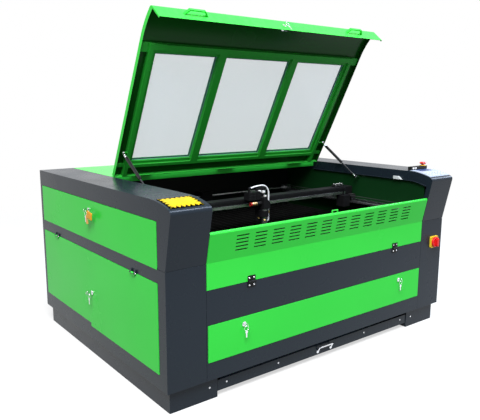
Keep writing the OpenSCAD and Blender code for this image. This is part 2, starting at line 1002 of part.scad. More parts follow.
// Laser tube behind the bulkhead
module laser_tube() {
    x1 = tube_x0 + tube_l;
    color([0.8, 0.85, 0.9]) {
        rod_x(tube_r, tube_x0, x1, tube_y, tube_z);
        rod_x(tube_end_r, tube_x0 - tube_end_l, x1 + tube_end_l, tube_y, tube_z);
    }
}
module tube_mounts() {
    ring = tube_r + tube_clamp_wall;
    mirror_x = rail_x + block_w;
    half = mirror_w / 2;
    color(grey) {
        for (share = clamp_shares) {
            x0 = tube_x0 + share * tube_l - tube_clamp_l / 2;
            difference() {
                union() {
                    rod_x(ring, x0, x0 + tube_clamp_l, tube_y, tube_z);
                    block([x0, rear_wall_y + sheet, tube_z - ring], [x0 + tube_clamp_l, tube_y, tube_z]);
                }
                rod_x(tube_r + seat_gap, x0 - over, x0 + tube_clamp_l + over, tube_y, tube_z);
            }
        }
        difference() {
            block([mirror_x - half, rear_wall_y + sheet, tube_z - half],
                [mirror_x + half, tube_y + half, tube_z + half]);
            translate([mirror_x - half, tube_y + half, tube_z])
                rotate([0, 0, 45])
                    cube([mirror_w, mirror_w, 2 * mirror_w], center = true);
            rod_y(aperture_r, rear_wall_y, tube_y, mirror_x, tube_z);
        }
    }
}
module power_supply() {
    x0 = chamber_x1 + wall_t;
    color(grey)
        block([x0, psu_y, plinth_h + sheet], [x0 + psu_size[0], psu_y + psu_size[1],
            plinth_h + sheet + psu_size[2]]);
}
module controller() {
    x0 = chamber_x1 + wall_t;
    color(grey)
        block([x0, ctrl_y, ctrl_z], [x0 + ctrl_size[0], ctrl_y + ctrl_size[1], ctrl_z + ctrl_size[2]]);
}

// Consoles
function brow_turn(y) = asin((brow_y - y) / brow_r);
panel_x0 = mid_x1 + panel_side;
panel_w = end_w - 2 * panel_side;
panel_x = panel_x0 + panel_w / 2;
screen_turn = brow_turn(panel_y1 - panel_edge - screen_d / 2);
// Frame on the keypad's face: z outwards, y to the rear
module on_brow(x, turn) {
    translate([x, brow_c[0], brow_c[1]])
        rotate([turn, 0, 0])
            translate([0, 0, brow_r + panel_t])
                children();
}
module panel_outline() {
    intersection() {
        difference() {
            translate(brow_c)
                circle(r = brow_r + panel_t, $fn = 180);
            translate(brow_c)
                circle(r = brow_r, $fn = 180);
        }
        translate([panel_y0, brow_c[1]])
            square([panel_y1 - panel_y0, brow_r + 2 * panel_t]);
    }
}
module control_panel() {
    color([0.82, 0.85, 0.9])
        difference() {
            union() {
                along_x(panel_x0, panel_x0 + panel_w)
                    panel_outline();
                for (i = [0 : pad_cols - 1], j = [0 : pad_rows - 1])
                    on_brow(panel_x + (i - (pad_cols - 1) / 2) * pad_pitch,
                        brow_turn(panel_y0 + pad_front + j * pad_row))
                        translate([-pad_w / 2, -pad_d / 2, -panel_t / 2])
                            cube([pad_w, pad_d, panel_t / 2 + pad_rise]);
            }
            on_brow(panel_x, screen_turn)
                translate([-screen_w / 2 - seat_gap, -screen_d / 2 - seat_gap, -screen_t / 2])
                    cube([screen_w + 2 * seat_gap, screen_d + 2 * seat_gap, screen_t]);
        }
}
module control_screen() {
    color([0.35, 0.42, 0.52])
        on_brow(panel_x, screen_turn)
            translate([-screen_w / 2, -screen_d / 2, -screen_t / 2])
                cube([screen_w, screen_d, screen_t]);
}
box_x1 = body_w - box_in;
stop_x = box_x1 - stop_in;
stop_y = box_y + box_d / 2;
stop_z = body_top + box_h;
module switch_box() {
    color(black)
        difference() {
            union() {
                block([box_x1 - box_w, box_y, body_top], [box_x1, box_y + box_d, stop_z]);
                translate([stop_x, stop_y, stop_z])
                    cylinder(r = stop_collar_r, h = stop_collar_h);
            }
            translate([stop_x, stop_y, stop_z - stop_bore])
                cylinder(r = stop_stem_r + run_gap, h = stop_bore + stop_collar_h + over);
        }
}
module e_stop_button() {
    foot = stop_collar_h + stop_lift;
    dome = stop_head_h / 2;
    color([0.75, 0.06, 0.06])
        translate([stop_x, stop_y, stop_z]) {
            cylinder(r = stop_stem_r, h = foot + dome);
            translate([0, 0, foot])
                cylinder(r1 = stop_stem_r + dome, r2 = stop_r, h = dome);
            translate([0, 0, foot + dome])
                cylinder(r1 = stop_r, r2 = stop_r - dome, h = dome);
        }
}
module lid_switch() {
    x0 = mid_x1 - switch_t;
    color([0.85, 0.87, 0.88])
        along_x(x0, mid_x1)
            polygon([[switch_y, switch_z],
                [switch_y + switch_l * switch_slope_share, switch_z + switch_h],
                [switch_y + switch_l, switch_z + switch_h],
                [switch_y + switch_l, switch_z]]);
}
isolator_x = body_w - isolator_in;
module rounded_plate(w, r, t) {
    arm = w - 2 * r;
    translate([-w / 2, -arm / 2, 0])
        cube([w, arm, t]);
    translate([-arm / 2, -w / 2, 0])
        cube([arm, w, t]);
    for (x = [-arm / 2, arm / 2], y = [-arm / 2, arm / 2])
        translate([x, y, 0])
            cylinder(r = r, h = t);
}
module isolator_plate() {
    color([0.9, 0.75, 0.08])
        on_front(isolator_x, isolator_z)
            difference() {
                rounded_plate(isolator_w, isolator_r, isolator_t);
                translate([0, 0, over])
                    cylinder(r = dial_stem_r + run_gap, h = isolator_t);
            }
}
module isolator_knob() {
    color([0.75, 0.06, 0.06])
        on_front(isolator_x, isolator_z) {
            translate([0, 0, 2 * over])
                cylinder(r = dial_stem_r, h = isolator_t);
            translate([0, 0, isolator_t + seat_gap])
                cylinder(r = dial_r, h = dial_t);
            translate([-grip_w / 2, -grip_l / 2, isolator_t + dial_t])
                cube([grip_w, grip_l, grip_t]);
        }
}

// Drawer
module drawer_tray() {
    x0 = drawer_x0 + tray_in;
    x1 = drawer_x1 - tray_in;
    floor_z = drawer_z + tray_floor_up;
    lip_up = runner_z + runner_t + seat_gap;
    rear = drawer_set + drawer_l;
    color(slate) {
        block([drawer_x0, drawer_set, drawer_z], [drawer_x1, drawer_set + sheet, drawer_top_z]);
        difference() {
            block([x0, drawer_set, floor_z], [x1, rear, lip_up + sheet]);
            block([x0 + sheet, drawer_set + sheet, floor_z + sheet],
                [x1 - sheet, rear - sheet, lip_up + sheet + over]);
        }
        both_sides()
            block([drawer_x0 + runner_t + lid_gap, drawer_set + runner_front, lip_up],
                [x0 + sheet, rear, lip_up + sheet]);
    }
}
module drawer_handle() {
    bar = handle_reach - handle_rod_r;
    color(bright)
        translate([body_w / 2, drawer_set, drawer_z + handle_z_up]) {
            for (x = [-drawer_handle_w / 2, drawer_handle_w / 2])
                translate([x, 0, 0]) {
                    rotate([90, 0, 0])
                        cylinder(r = handle_foot_r, h = handle_foot_t);
                    difference() {
                        rotate([90 - handle_tilt, 0, 0])
                            translate([0, 0, -handle_rod_r])
                                cylinder(r = handle_rod_r, h = handle_reach + handle_rod_r);
                        translate([-handle_foot_r, 0, -handle_foot_r])
                            cube([2 * handle_foot_r, handle_foot_r, 2 * handle_foot_r]);
                    }
                }
            rotate([90 - handle_tilt, 0, 0])
                translate([-drawer_handle_w / 2, 0, bar])
                    rotate([0, 90, 0])
                        cylinder(r = handle_rod_r, h = drawer_handle_w);
        }
}

// Lid, drawn closed and swung open
module lid_windows(inset, z0, z1) {
    for (i = [0 : len(pane_xs) - 1])
        block([pane_xs[i] + inset, glass_y0 + inset, z0],
            [pane_xs[i] + pane_ws[i] - inset, glass_y1 - inset, z1]);
}
module lid_skin() {
    back = hinge_y - lid_set;
    color(green)
        lid_open() {
            difference() {
                along_x(lid_x0, lid_x1)
                    brow_outline(0, back, lip_z);
                along_x(lid_x0 + sheet, lid_x1 - sheet)
                    brow_outline(sheet, back - sheet, lip_z - over);
                along_x(lid_x0 - over, lid_x1 + over)
                    sharp_outline(lid_flange, back + over, lip_z - over, lip_cheek);
                lid_windows(pane_lap, frame_top - over, body_top + over);
                on_lip(body_w / 2, lid_lock_drop)
                    translate([0, 0, -lock_depth])
                        cylinder(r = lock_r + run_gap, h = 2 * lock_depth);
            }
            lid_knuckles(false);
        }
}
// Strip beside the panes that lies lower than the rest of the frame, without the bars between them
module lid_beads(z0, z1) {
    last = len(pane_xs) - 1;
    difference() {
        block([left_pane_x - bead_w, glass_y0 - bead_w, z0],
            [pane_xs[last] + pane_ws[last] + bead_w, glass_y1 + bead_w, z1]);
        for (i = [1 : last])
            block([pane_xs[i] - mullion_w, glass_y0 - 2 * bead_w, z0 - over],
                [pane_xs[i], glass_y1 + 2 * bead_w, z1 + over]);
    }
}
module lid_frame() {
    low = frame_top - frame_t;
    half_low = frame_top - frame_t / 2;
    pocket = low + bead_step + sheet;
    front = glass_y0 - rail_top_w;
    back = hinge_y - rail_s;
    flange = hinge_y - lid_set - sheet;
    side = lid_x0 + sheet;
    leg_w = stile_w - bead_w;
    stud_end = strut_x - strut_eye_w / 2;
    color(green)
        lid_open() {
            difference() {
                union() {
                    block([stile_x0, front, low], [frame_x1, back, frame_top]);
                    for (x = [stile_x0, frame_x1 - leg_w])
                        block([x, back - over, low], [x + leg_w, flange, frame_top]);
                    block([side, front, half_low], [body_w - side, front + rail_top_w, frame_top]);
                    block([side, glass_y1 + bead_w, half_low], [body_w - side, back, frame_top]);
                }
                lid_windows(0, low - over, frame_top + over);
                lid_beads(low - over, low + bead_step);
                difference() {
                    block([stile_x0 + sheet, front + sheet, pocket],
                        [frame_x1 - sheet, back - sheet, frame_top + over]);
                    lid_windows(-sheet, low, frame_top + 2 * over);
                }
            }
            rod_x(strut_pin_r, stud_end, stile_x0 + sheet, strut_head_closed[0], strut_head_closed[1]);
            rod_x(strut_pin_r, frame_x1 - sheet, body_w - stud_end,
                strut_head_closed[0], strut_head_closed[1]);
        }
}
module lid_panes() {
    color([0.8, 0.86, 0.9])
        lid_open()
            lid_windows(pane_gap, frame_top - pane_t, frame_top);
}
// Bow handle: a flat bar bent to a trapezoid, feet on the lip
module bow_outline() {
    slope = (lid_handle_w - lid_handle_bar) / 2 / lid_handle_out;
    leg = lid_handle_t * sqrt(1 + pow(slope, 2));
    top = lid_handle_out - lid_handle_t;
    foot_x = lid_handle_w / 2;
    bar_x = lid_handle_bar / 2;
    low_x = foot_x + over * slope - leg;
    high_x = foot_x - top * slope - leg;
    difference() {
        polygon([[-foot_x, 0], [foot_x, 0], [bar_x, lid_handle_out], [-bar_x, lid_handle_out]]);
        polygon([[-low_x, -over], [low_x, -over], [high_x, top], [-high_x, top]]);
    }
}
module lid_handles() {
    color(green)
        lid_open()
            for (x = [lid_handle_in, body_w - lid_handle_in])
                on_lip(x, lid_handle_drop)
                    translate([0, lid_handle_h / 2, 0])
                        rotate([90, 0, 0])
                            linear_extrude(lid_handle_h)
                                bow_outline();
}
module lid_lock() {
    lid_open()
        on_lip(body_w / 2, lid_lock_drop) {
            cam_lock();
            key_ring();
        }
}

// Gas struts: the cylinder hangs on the lid's stud, the rod runs into it from the cabinet's stud
module strut_frame() {
    translate([strut_x, strut_head[0], strut_head[1]])
        rotate([strut_turn, 0, 0])
            children();
}
module strut_cylinder() {
    end = strut_neck_l + strut_tube_l;
    color(black)
        strut_frame()
            difference() {
                union() {
                    rod_x(strut_eye_r, -strut_eye_w / 2, strut_eye_w / 2, 0, 0);
                    rod_y(strut_neck_r, 0, strut_neck_l + over, 0, 0);
                    rod_y(strut_r, strut_neck_l, end, 0, 0);
                }
                rod_x(strut_pin_r + run_gap, -strut_eye_w, strut_eye_w, 0, 0);
                rod_y(strut_bore_r, strut_neck_l + strut_cap, end - strut_gland, 0, 0);
                rod_y(strut_rod_r + run_gap, end - strut_gland - over, end + over, 0, 0);
            }
}
module strut_rod() {
    start = strut_neck_l + strut_tube_l - strut_grip;
    color(bright)
        strut_frame() {
            rod_y(strut_rod_r, start, strut_len, 0, 0);
            rod_x(socket_r, -socket_w / 2, socket_w / 2, strut_len, 0);
        }
}
module left_strut_cylinder() {
    strut_cylinder();
}
module right_strut_cylinder() {
    mirrored()
        strut_cylinder();
}
module left_strut_rod() {
    strut_rod();
}
module right_strut_rod() {
    mirrored()
        strut_rod();
}

// Front flap
function slant_y(z) = -(z - seam_z) * tan(front_lean);
module flap_outline(inset, reach) {
    lean_gap = inset / cos(front_lean);
    bottom = flap_hinge_z + flap_gap;
    polygon([[inset, bottom], [inset, seam_z], [slant_y(roll_z) + lean_gap, roll_z],
        [slant_y(roll_z) + reach, roll_z], [reach, seam_z], [reach, bottom]]);
}
module flap() {
    roll_y = slant_y(roll_z) + roll_r / cos(front_lean);
    loop_y = roll_y - catch_t / 2;
    slot_run = body_w - 2 * slot_x0;
    color(green) {
        difference() {
            along_x(flap_x0, flap_x1)
                flap_outline(0, flap_return);
            along_x(flap_x0 + sheet, flap_x1 - sheet)
                flap_outline(sheet, flap_return + over);
            for (i = [0 : louvre_cols - 1], j = [0 : louvre_rows - 1])
                translate([slot_x0 + i * slot_run / (louvre_cols - 1) - slot_w / 2,
                    slant_y(flap_top) - over, slot_z0 + j * slot_pitch - slot_h / 2])
                    cube([slot_w, -slant_y(flap_top) + sheet + 2 * over, slot_h]);
        }
        difference() {
            rod_x(roll_r, flap_x0, flap_x1, roll_y, roll_z);
            rod_x(roll_r - sheet, flap_x0 - over, flap_x1 + over, roll_y, roll_z);
        }
        difference() {
            block([(body_w - catch_w) / 2, loop_y, flap_top - sheet / 2],
                [(body_w + catch_w) / 2, loop_y + catch_t, flap_top + catch_h]);
            block([(body_w - catch_w) / 2 + catch_bar, loop_y - over, flap_top],
                [(body_w + catch_w) / 2 - catch_bar, loop_y + catch_t + over,
                    flap_top + catch_h - catch_bar]);
        }
    }
}
// Butt hinges: the lower leaf carries the outer knuckles and the pin
module butt_hinge(fixed) {
    mid_l = leaf_w * hinge_mid_share;
    side_l = (leaf_w - mid_l) / 2;
    half = leaf_w / 2;
    for (x = flap_hinge_xs)
        translate([x, 0, flap_hinge_z])
            if (fixed) {
                difference() {
                    block([-half, -leaf_t, -leaf_h], [half, 0, -flap_gap]);
                    rod_x(hinge_r + seat_gap, -mid_l / 2, mid_l / 2, hinge_y_out, 0);
                }
                for (x0 = [-half, half - side_l + seat_gap])
                    rod_x(hinge_r, x0, x0 + side_l - seat_gap, hinge_y_out - hinge_r + sheet, 0);
                rod_x(hinge_pin_r, -half, half, hinge_y_out - hinge_r + sheet, 0);
            } else {
                difference() {
                    union() {
                        block([-half, -leaf_t, hinge_r], [half, 0, leaf_h]);
                        block([-mid_l / 2, -leaf_t, flap_gap], [mid_l / 2, 0, leaf_h]);
                        rod_x(hinge_r, -mid_l / 2, mid_l / 2, hinge_y_out - hinge_r + sheet, 0);
                    }
                    rod_x(hinge_pin_r + run_gap, -leaf_w, leaf_w, hinge_y_out - hinge_r + sheet, 0);
                }
            }
}
module flap_hinge_base() {
    color(black)
        butt_hinge(true);
}
module flap_hinge_leaf() {
    color(black)
        butt_hinge(false);
}

// Doors and their locks
front_door_x = mid_x0 + front_jamb;
front_lock_y = front_door_h - front_lock_drop;
front_lock_u = front_lock_in - front_door_x;
upper_lock_y = upper_door_h - upper_lock_drop;
lower_lock_y = lower_door_h - lower_lock_drop;
module front_door() {
    color(green)
        on_front(front_door_x, front_door_z)
            door_panel(front_door_w, front_door_h,
                [[front_lock_u, front_lock_y], [front_door_w - front_lock_u, front_lock_y]]);
}
module front_lock(u) {
    on_front(front_door_x, front_door_z)
        translate([u, front_lock_y, door_proud]) {
            cam_lock();
            key_ring();
        }
}
module front_left_lock() {
    front_lock(front_lock_u);
}
module front_right_lock() {
    front_lock(front_door_w - front_lock_u);
}
module left_upper_door() {
    color(green)
        on_left(body_d - side_door_rear, seam_z + sheet) {
            door_panel(side_door_w, upper_door_h, [[side_door_w / 2, upper_lock_y]]);
            translate([door_gap, -upper_apron, seat_gap])
                cube([side_door_w - 2 * door_gap, upper_apron + door_gap + sheet,
                    door_proud - seat_gap]);
        }
}
module left_upper_lock() {
    on_left(body_d - side_door_rear, seam_z + sheet)
        translate([side_door_w / 2, upper_lock_y, door_proud]) {
            cam_lock();
            key_ring();
            key_tag();
        }
}
module lower_door() {
    color(green)
        on_left(body_d - side_door_rear, lower_door_z) {
            door_panel(side_door_w, lower_door_h, [[side_door_w / 2, lower_lock_y]], door_step);
            knuckle_posts(side_door_w, lower_door_h, false);
        }
}
module lower_lock() {
    on_left(body_d - side_door_rear, lower_door_z)
        translate([side_door_w / 2, lower_lock_y, door_proud]) {
            cam_lock();
            key_ring();
        }
}
module left_lower_door() {
    lower_door();
}
module left_lower_lock() {
    lower_lock();
}
module right_door() {
    mirrored()
        lower_door();
}
module right_lock() {
    mirrored()
        lower_lock();
}

// Gantry
module gantry_beam() {
    color(black)
        difference() {
            block([beam_x0, gantry_y, beam_z], [beam_x1, gantry_y + beam_d, beam_z + beam_h]);
            block([beam_x0 - over, gantry_y + beam_wall, beam_z + beam_wall],
                [beam_x1 + over, gantry_y + beam_d - beam_wall, beam_z + beam_h - beam_wall]);
            rod_y(beam_hole_r, gantry_y - over, gantry_y + beam_d + over, rail_x + block_w, tube_z);
        }
}
module gantry_rail() {
    color(bright)
        block([beam_x0 + x_rail_in, gantry_y - x_rail_d, x_rail_z],
            [beam_x1 - x_rail_in, gantry_y, x_rail_z + x_rail_h]);
}
module gantry_end_blocks() {
    mid = gantry_y + beam_d / 2;
    x0 = rail_x - (block_w - y_rail_w) / 2;
    belt_top = shaft_z + pulley_r + seat_gap + belt_t;
    color(grey) {
        both_sides() {
            difference() {
                block([x0, mid - block_half_l, y_rail_z + over],
                    [x0 + block_w, mid + block_half_l, beam_z]);
                block([rail_x - seat_gap, mid - block_half_l - over, y_rail_z],
                    [rail_x + y_rail_w + seat_gap, mid + block_half_l + over,
                        y_rail_z + y_rail_h + seat_gap]);
            }
            block([x0 + block_w, mid - belt_clamp_l / 2, belt_top + seat_gap],
                [belt_x + belt_w, mid + belt_clamp_l / 2, beam_z]);
        }
        beam_mirror(x0, mid);
    }
}
// Mirror on the left block that turns the beam from the rear towards the head
module beam_mirror(x0, mid) {
    mirror_x = rail_x + block_w;
    half = mirror_w / 2;
    difference() {
        union() {
            block([x0, lens_y - half, beam_z - mirror_foot_t], [mirror_x + half, mid, beam_z]);
            block([mirror_x - half, lens_y - half, beam_z - over],
                [mirror_x + half, lens_y + half, tube_z + half]);
        }
        translate([mirror_x - half, lens_y - half, tube_z])
            rotate([0, 0, 45])
                cube([mirror_w * mirror_cut_share, 2 * mirror_w, mirror_w + over], center = true);
        rod_y(aperture_r, lens_y, lens_y + mirror_w, mirror_x, tube_z);
        rod_x(aperture_r, mirror_x, mirror_x + mirror_w, lens_y, tube_z);
    }
}
// Carriage drive in front of the beam: motor below it, toothed belt and idler
x_belt_y = gantry_y - x_rail_d - x_shaft_r - seat_gap;
x_belt_z = beam_z + x_belt_up;
x_drive_x = body_w - belt_x - belt_w - x_motor_gap - motor_w / 2;
x_idler_x = beam_x0 + x_idler_in;
module x_belt_outline(r) {
    for (x = [x_idler_x, x_drive_x])
        translate([x, x_belt_y])
            circle(r = r);
    translate([x_idler_x, x_belt_y - r])
        square([x_drive_x - x_idler_x, 2 * r]);
}
module x_belt() {
    inner = x_pulley_r + seat_gap;
    translate([0, 0, x_belt_z])
        linear_extrude(x_belt_h)
            difference() {
                x_belt_outline(inner + belt_t);
                x_belt_outline(inner);
            }
}
module x_motor() {
    half = motor_w / 2;
    top = beam_z - x_plate_t;
    beam_top = beam_z + beam_h;
    color(black) {
        block([x_drive_x - half, x_belt_y - half, top - x_motor_l],
            [x_drive_x + half, x_belt_y + half, top]);
        block([x_drive_x - half, x_belt_y - half, top], [x_drive_x + half, gantry_y + beam_d, beam_z]);
        translate([x_drive_x, x_belt_y, top])
            cylinder(r = x_shaft_r, h = x_belt_z + x_pulley_h - top);
        translate([x_drive_x, x_belt_y, x_belt_z - over])
            cylinder(r = x_pulley_r, h = x_pulley_h);
        x_belt();
        translate([x_idler_x, x_belt_y, x_belt_z - over])
            cylinder(r = x_pulley_r, h = beam_top - x_belt_z + 2 * over);
        block([x_idler_x - x_pulley_r, x_belt_y - x_pulley_r, beam_top],
            [x_idler_x + x_pulley_r, gantry_y + beam_d, beam_top + x_plate_t]);
    }
}

// Laser head
module head_plate() {
    half = head_w / 2;
    back = head_plate_y + head_plate_t;
    ring = lens_r + clamp_wall;
    slide_mid = x_rail_z + x_rail_h / 2;
    clamp_y = x_belt_y - x_pulley_r - belt_t - 2 * seat_gap;
    color(black) {
        block([head_x - half, head_plate_y, head_plate_z0], [head_x + half, back, head_plate_z1]);
        difference() {
            block([head_x - slide_w / 2, back, slide_mid - slide_h / 2],
                [head_x + slide_w / 2, gantry_y - seat_gap, slide_mid + slide_h / 2]);
            block([head_x - slide_w, gantry_y - x_rail_d - seat_gap, x_rail_z - seat_gap],
                [head_x + slide_w, gantry_y, x_rail_z + x_rail_h + seat_gap]);
        }
        difference() {
            union() {
                translate([head_x, lens_y, clamp_z])
                    cylinder(r = ring, h = clamp_h);
                block([head_x - ring, lens_y, clamp_z], [head_x + ring, head_plate_y, clamp_z + clamp_h]);
            }
            translate([head_x, lens_y, clamp_z - over])
                cylinder(r = lens_r + run_gap, h = clamp_h + 2 * over);
        }
        block([head_x - ring, back - over, x_belt_z], [head_x + ring, clamp_y, x_belt_z + x_belt_h]);
        chain_end();
    }
}
// End of the cable chain, with the fitting that holds the air hose
module chain_end() {
    y0 = hose_y - hose_tab_w / 2;
    x1 = head_x - head_w / 2;
    post_x1 = chain_x0 + hose_tab_w - hose_r;
    difference() {
        block([chain_x0, y0, chain_z0], [x1 + over, head_plate_y + head_plate_t, chain_z1]);
        for (i = [1 : chain_ribs - 1]) {
            translate([chain_x0 + i * chain_w / chain_ribs - chain_groove / 2, y0 - over, chain_z0 - over])
                cube([chain_groove, chain_groove + over, chain_h + 2 * over]);
            translate([chain_x0 - over, y0 - over, chain_z0 + i * chain_h / chain_ribs - chain_groove / 2])
                cube([chain_w + over, chain_groove + over, chain_groove]);
        }
    }
    block([chain_x0, y0, chain_z1 - over], [post_x1, y0 + hose_tab_w, hose_end_z]);
    translate([chain_x0 + hose_tab_w, hose_y, hose_end_z])
        rotate([0, -90 - hose_sweep, 0])
            cylinder(r = hose_r + barb_wall, h = barb_l);
}
module lens_tube() {
    color(bright)
        translate([head_x, lens_y, 0]) {
            translate([0, 0, lens_z0 + nozzle_h])
                cylinder(r = lens_r, h = lens_z1 - lens_z0 - nozzle_h);
            translate([0, 0, lens_z0])
                cylinder(r1 = nozzle_r, r2 = lens_r, h = nozzle_h);
        }
}
module head_mirror() {
    half = mirror_w / 2;
    color(black)
        translate([head_x, lens_y, mirror_z0])
            difference() {
                union() {
                    translate([-half, -half, 0])
                        cube([mirror_w, mirror_w, mirror_h]);
                    rod_x(entry_r, -half - entry_l, 0, 0, mirror_h / 2);
                }
                translate([half, 0, mirror_h])
                    rotate([0, 45, 0])
                        cube([mirror_w, 2 * mirror_w, mirror_w * mirror_cut_share * 2], center = true);
                rod_x(aperture_r, -half - entry_l - over, 0, 0, mirror_h / 2);
                translate([0, 0, -over])
                    cylinder(r = aperture_r, h = mirror_h / 2);
            }
}
module hose_arc(r, sweep) {
    rotate_extrude(angle = sweep)
        translate([r, 0])
            circle(r = hose_r);
}
module air_hose() {
    nozzle_x = head_x + lens_r;
    color([0.9, 0.91, 0.92]) {
        translate([hose_x, hose_y, hose_low_z])
            cylinder(r = hose_r, h = hose_arch_z - hose_low_z);
        translate([hose_x - hose_arch_r, hose_y, hose_arch_z])
            rotate([90, 0, 0])
                hose_arc(hose_arch_r, 90);
        translate([hose_x - hose_arch_r, hose_y, hose_arch_z + hose_arch_r - hose_long_r])
            rotate([90, 0, 0])
                rotate([0, 0, 90])
                    hose_arc(hose_long_r, hose_sweep);
        translate([hose_x - hose_bend_r, hose_y, hose_low_z])
            rotate([-90, 0, 0])
                hose_arc(hose_bend_r, 90);
        rod_x(hose_r, nozzle_x, hose_x - hose_bend_r, hose_y, hose_low_z - hose_bend_r);
    }
}

placed() plinths();
placed() left_pedestal();
placed() right_pedestal();
placed() left_cap();
placed() right_cap();
placed() left_wall();
placed() right_wall();
placed() rear_wall();
placed() front_panel();
placed() rear_panel();
placed() rear_deck();
placed() floor_pan();
placed() table_frame();
placed() blade_slats();
placed() y_rails();
placed() y_belts();
placed() y_motor();
placed() laser_tube();
placed() tube_mounts();
placed() power_supply();
placed() controller();
placed() control_panel();
placed() control_screen();
placed() switch_box();
placed() lid_switch();
placed() isolator_plate();
placed() flap_hinge_base();
placed() y_drive_shaft();
placed() e_stop_button();
placed() isolator_knob();
placed() drawer_tray();
placed() drawer_handle();
placed() lid_skin();
placed() lid_frame();
placed() lid_panes();
placed() lid_handles();
placed() lid_lock();
placed() left_strut_cylinder();
placed() right_strut_cylinder();
placed() left_strut_rod();
placed() right_strut_rod();
placed() flap();
placed() flap_hinge_leaf();
placed() front_door();
placed() front_left_lock();
placed() front_right_lock();
placed() left_upper_door();
placed() left_upper_lock();
placed() left_lower_door();
placed() left_lower_lock();
placed() right_door();
placed() right_lock();
placed() gantry_beam();
placed() gantry_rail();
placed() gantry_end_blocks();
placed() x_motor();
placed() head_plate();
placed() lens_tube();
placed() head_mirror();
placed() air_hose();
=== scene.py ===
"""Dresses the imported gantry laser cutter: finishes for every solid, small fittings, studio and camera."""
import bpy
import bmesh
import json
import math
from mathutils import Matrix, Vector


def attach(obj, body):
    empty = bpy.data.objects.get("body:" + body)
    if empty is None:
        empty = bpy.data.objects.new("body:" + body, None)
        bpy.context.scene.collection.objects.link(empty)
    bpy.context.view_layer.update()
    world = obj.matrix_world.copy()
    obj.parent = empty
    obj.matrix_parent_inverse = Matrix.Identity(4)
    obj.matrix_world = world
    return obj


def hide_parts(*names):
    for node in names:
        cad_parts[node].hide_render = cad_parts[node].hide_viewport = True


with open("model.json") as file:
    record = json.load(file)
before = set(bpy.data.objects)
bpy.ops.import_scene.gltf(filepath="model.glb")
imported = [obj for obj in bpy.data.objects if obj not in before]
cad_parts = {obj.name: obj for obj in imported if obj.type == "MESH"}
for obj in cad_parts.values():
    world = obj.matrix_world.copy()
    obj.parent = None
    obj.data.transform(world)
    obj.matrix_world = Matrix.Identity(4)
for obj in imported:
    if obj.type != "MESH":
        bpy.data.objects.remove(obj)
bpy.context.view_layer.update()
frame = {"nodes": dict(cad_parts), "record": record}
MM = 0.001
X, Y, Z = Vector((1, 0, 0)), Vector((0, 1, 0)), Vector((0, 0, 1))

# The machine's own millimetres run from the cabinet's left front corner; the frame's origin is under the whole
# box's middle
HALF_W = 925.0
MID_Y = 690.6927

# The console brow, rolled about a line along x, carries the keypad and the plain plate
BROW_Y, BROW_Z, BROW_R = 110.0, 468.0, 420.0

# The open gas struts, from the lid's stud down to the cabinet's
STRUT_X = {"left": 218.0, "right": 1632.0}
STRUT_HEAD = (767.15, 1015.36)
STRUT_FOOT = (472.0, 820.0)
STRUT_RUN = Vector((0, STRUT_FOOT[0] - STRUT_HEAD[0], STRUT_FOOT[1] - STRUT_HEAD[1]))
STRUT_L = STRUT_RUN.length
STRUT_WAY = STRUT_RUN.normalized()
STRUT_NECK = 42.0
STRUT_EYE = 23.0
STRUT_FADE = 1.0

# Camera fitted to the photograph
IMAGE_W = 480
FOCAL_PX = 576.6
SENSOR_MM = 36.0
CAM_PLACE = Vector((-2.014, -2.5677, 1.252))
CAM_YAW = math.radians(37.78)
CAM_DIP = math.radians(10.32)
CAM_ROLL = math.radians(-0.18)
CAM_FAR = 60.0


def make_camera():
    forward = Vector((math.sin(CAM_YAW) * math.cos(CAM_DIP),
                      math.cos(CAM_YAW) * math.cos(CAM_DIP),
                      -math.sin(CAM_DIP)))
    right = forward.cross(Z).normalized()
    up = right.cross(forward)
    turn = Matrix.Rotation(CAM_ROLL, 3, forward)
    right, up = turn @ right, turn @ up
    data = bpy.data.cameras.new("camera")
    data.sensor_fit = "HORIZONTAL"
    data.sensor_width = SENSOR_MM
    data.lens = FOCAL_PX / IMAGE_W * SENSOR_MM
    data.clip_end = CAM_FAR
    camera = bpy.data.objects.new("camera", data)
    stance = Matrix((right, up, -forward)).transposed()
    camera.matrix_world = Matrix.Translation(CAM_PLACE) @ stance.to_4x4()
    bpy.context.scene.collection.objects.link(camera)
    bpy.context.scene.camera = camera


# Shader helpers
NOISE_LOW, NOISE_HIGH = 0.3, 0.7
BEVEL_SAMPLES = 4
EDGE_BEND, FLAT_BEND = 0.75, 0.99


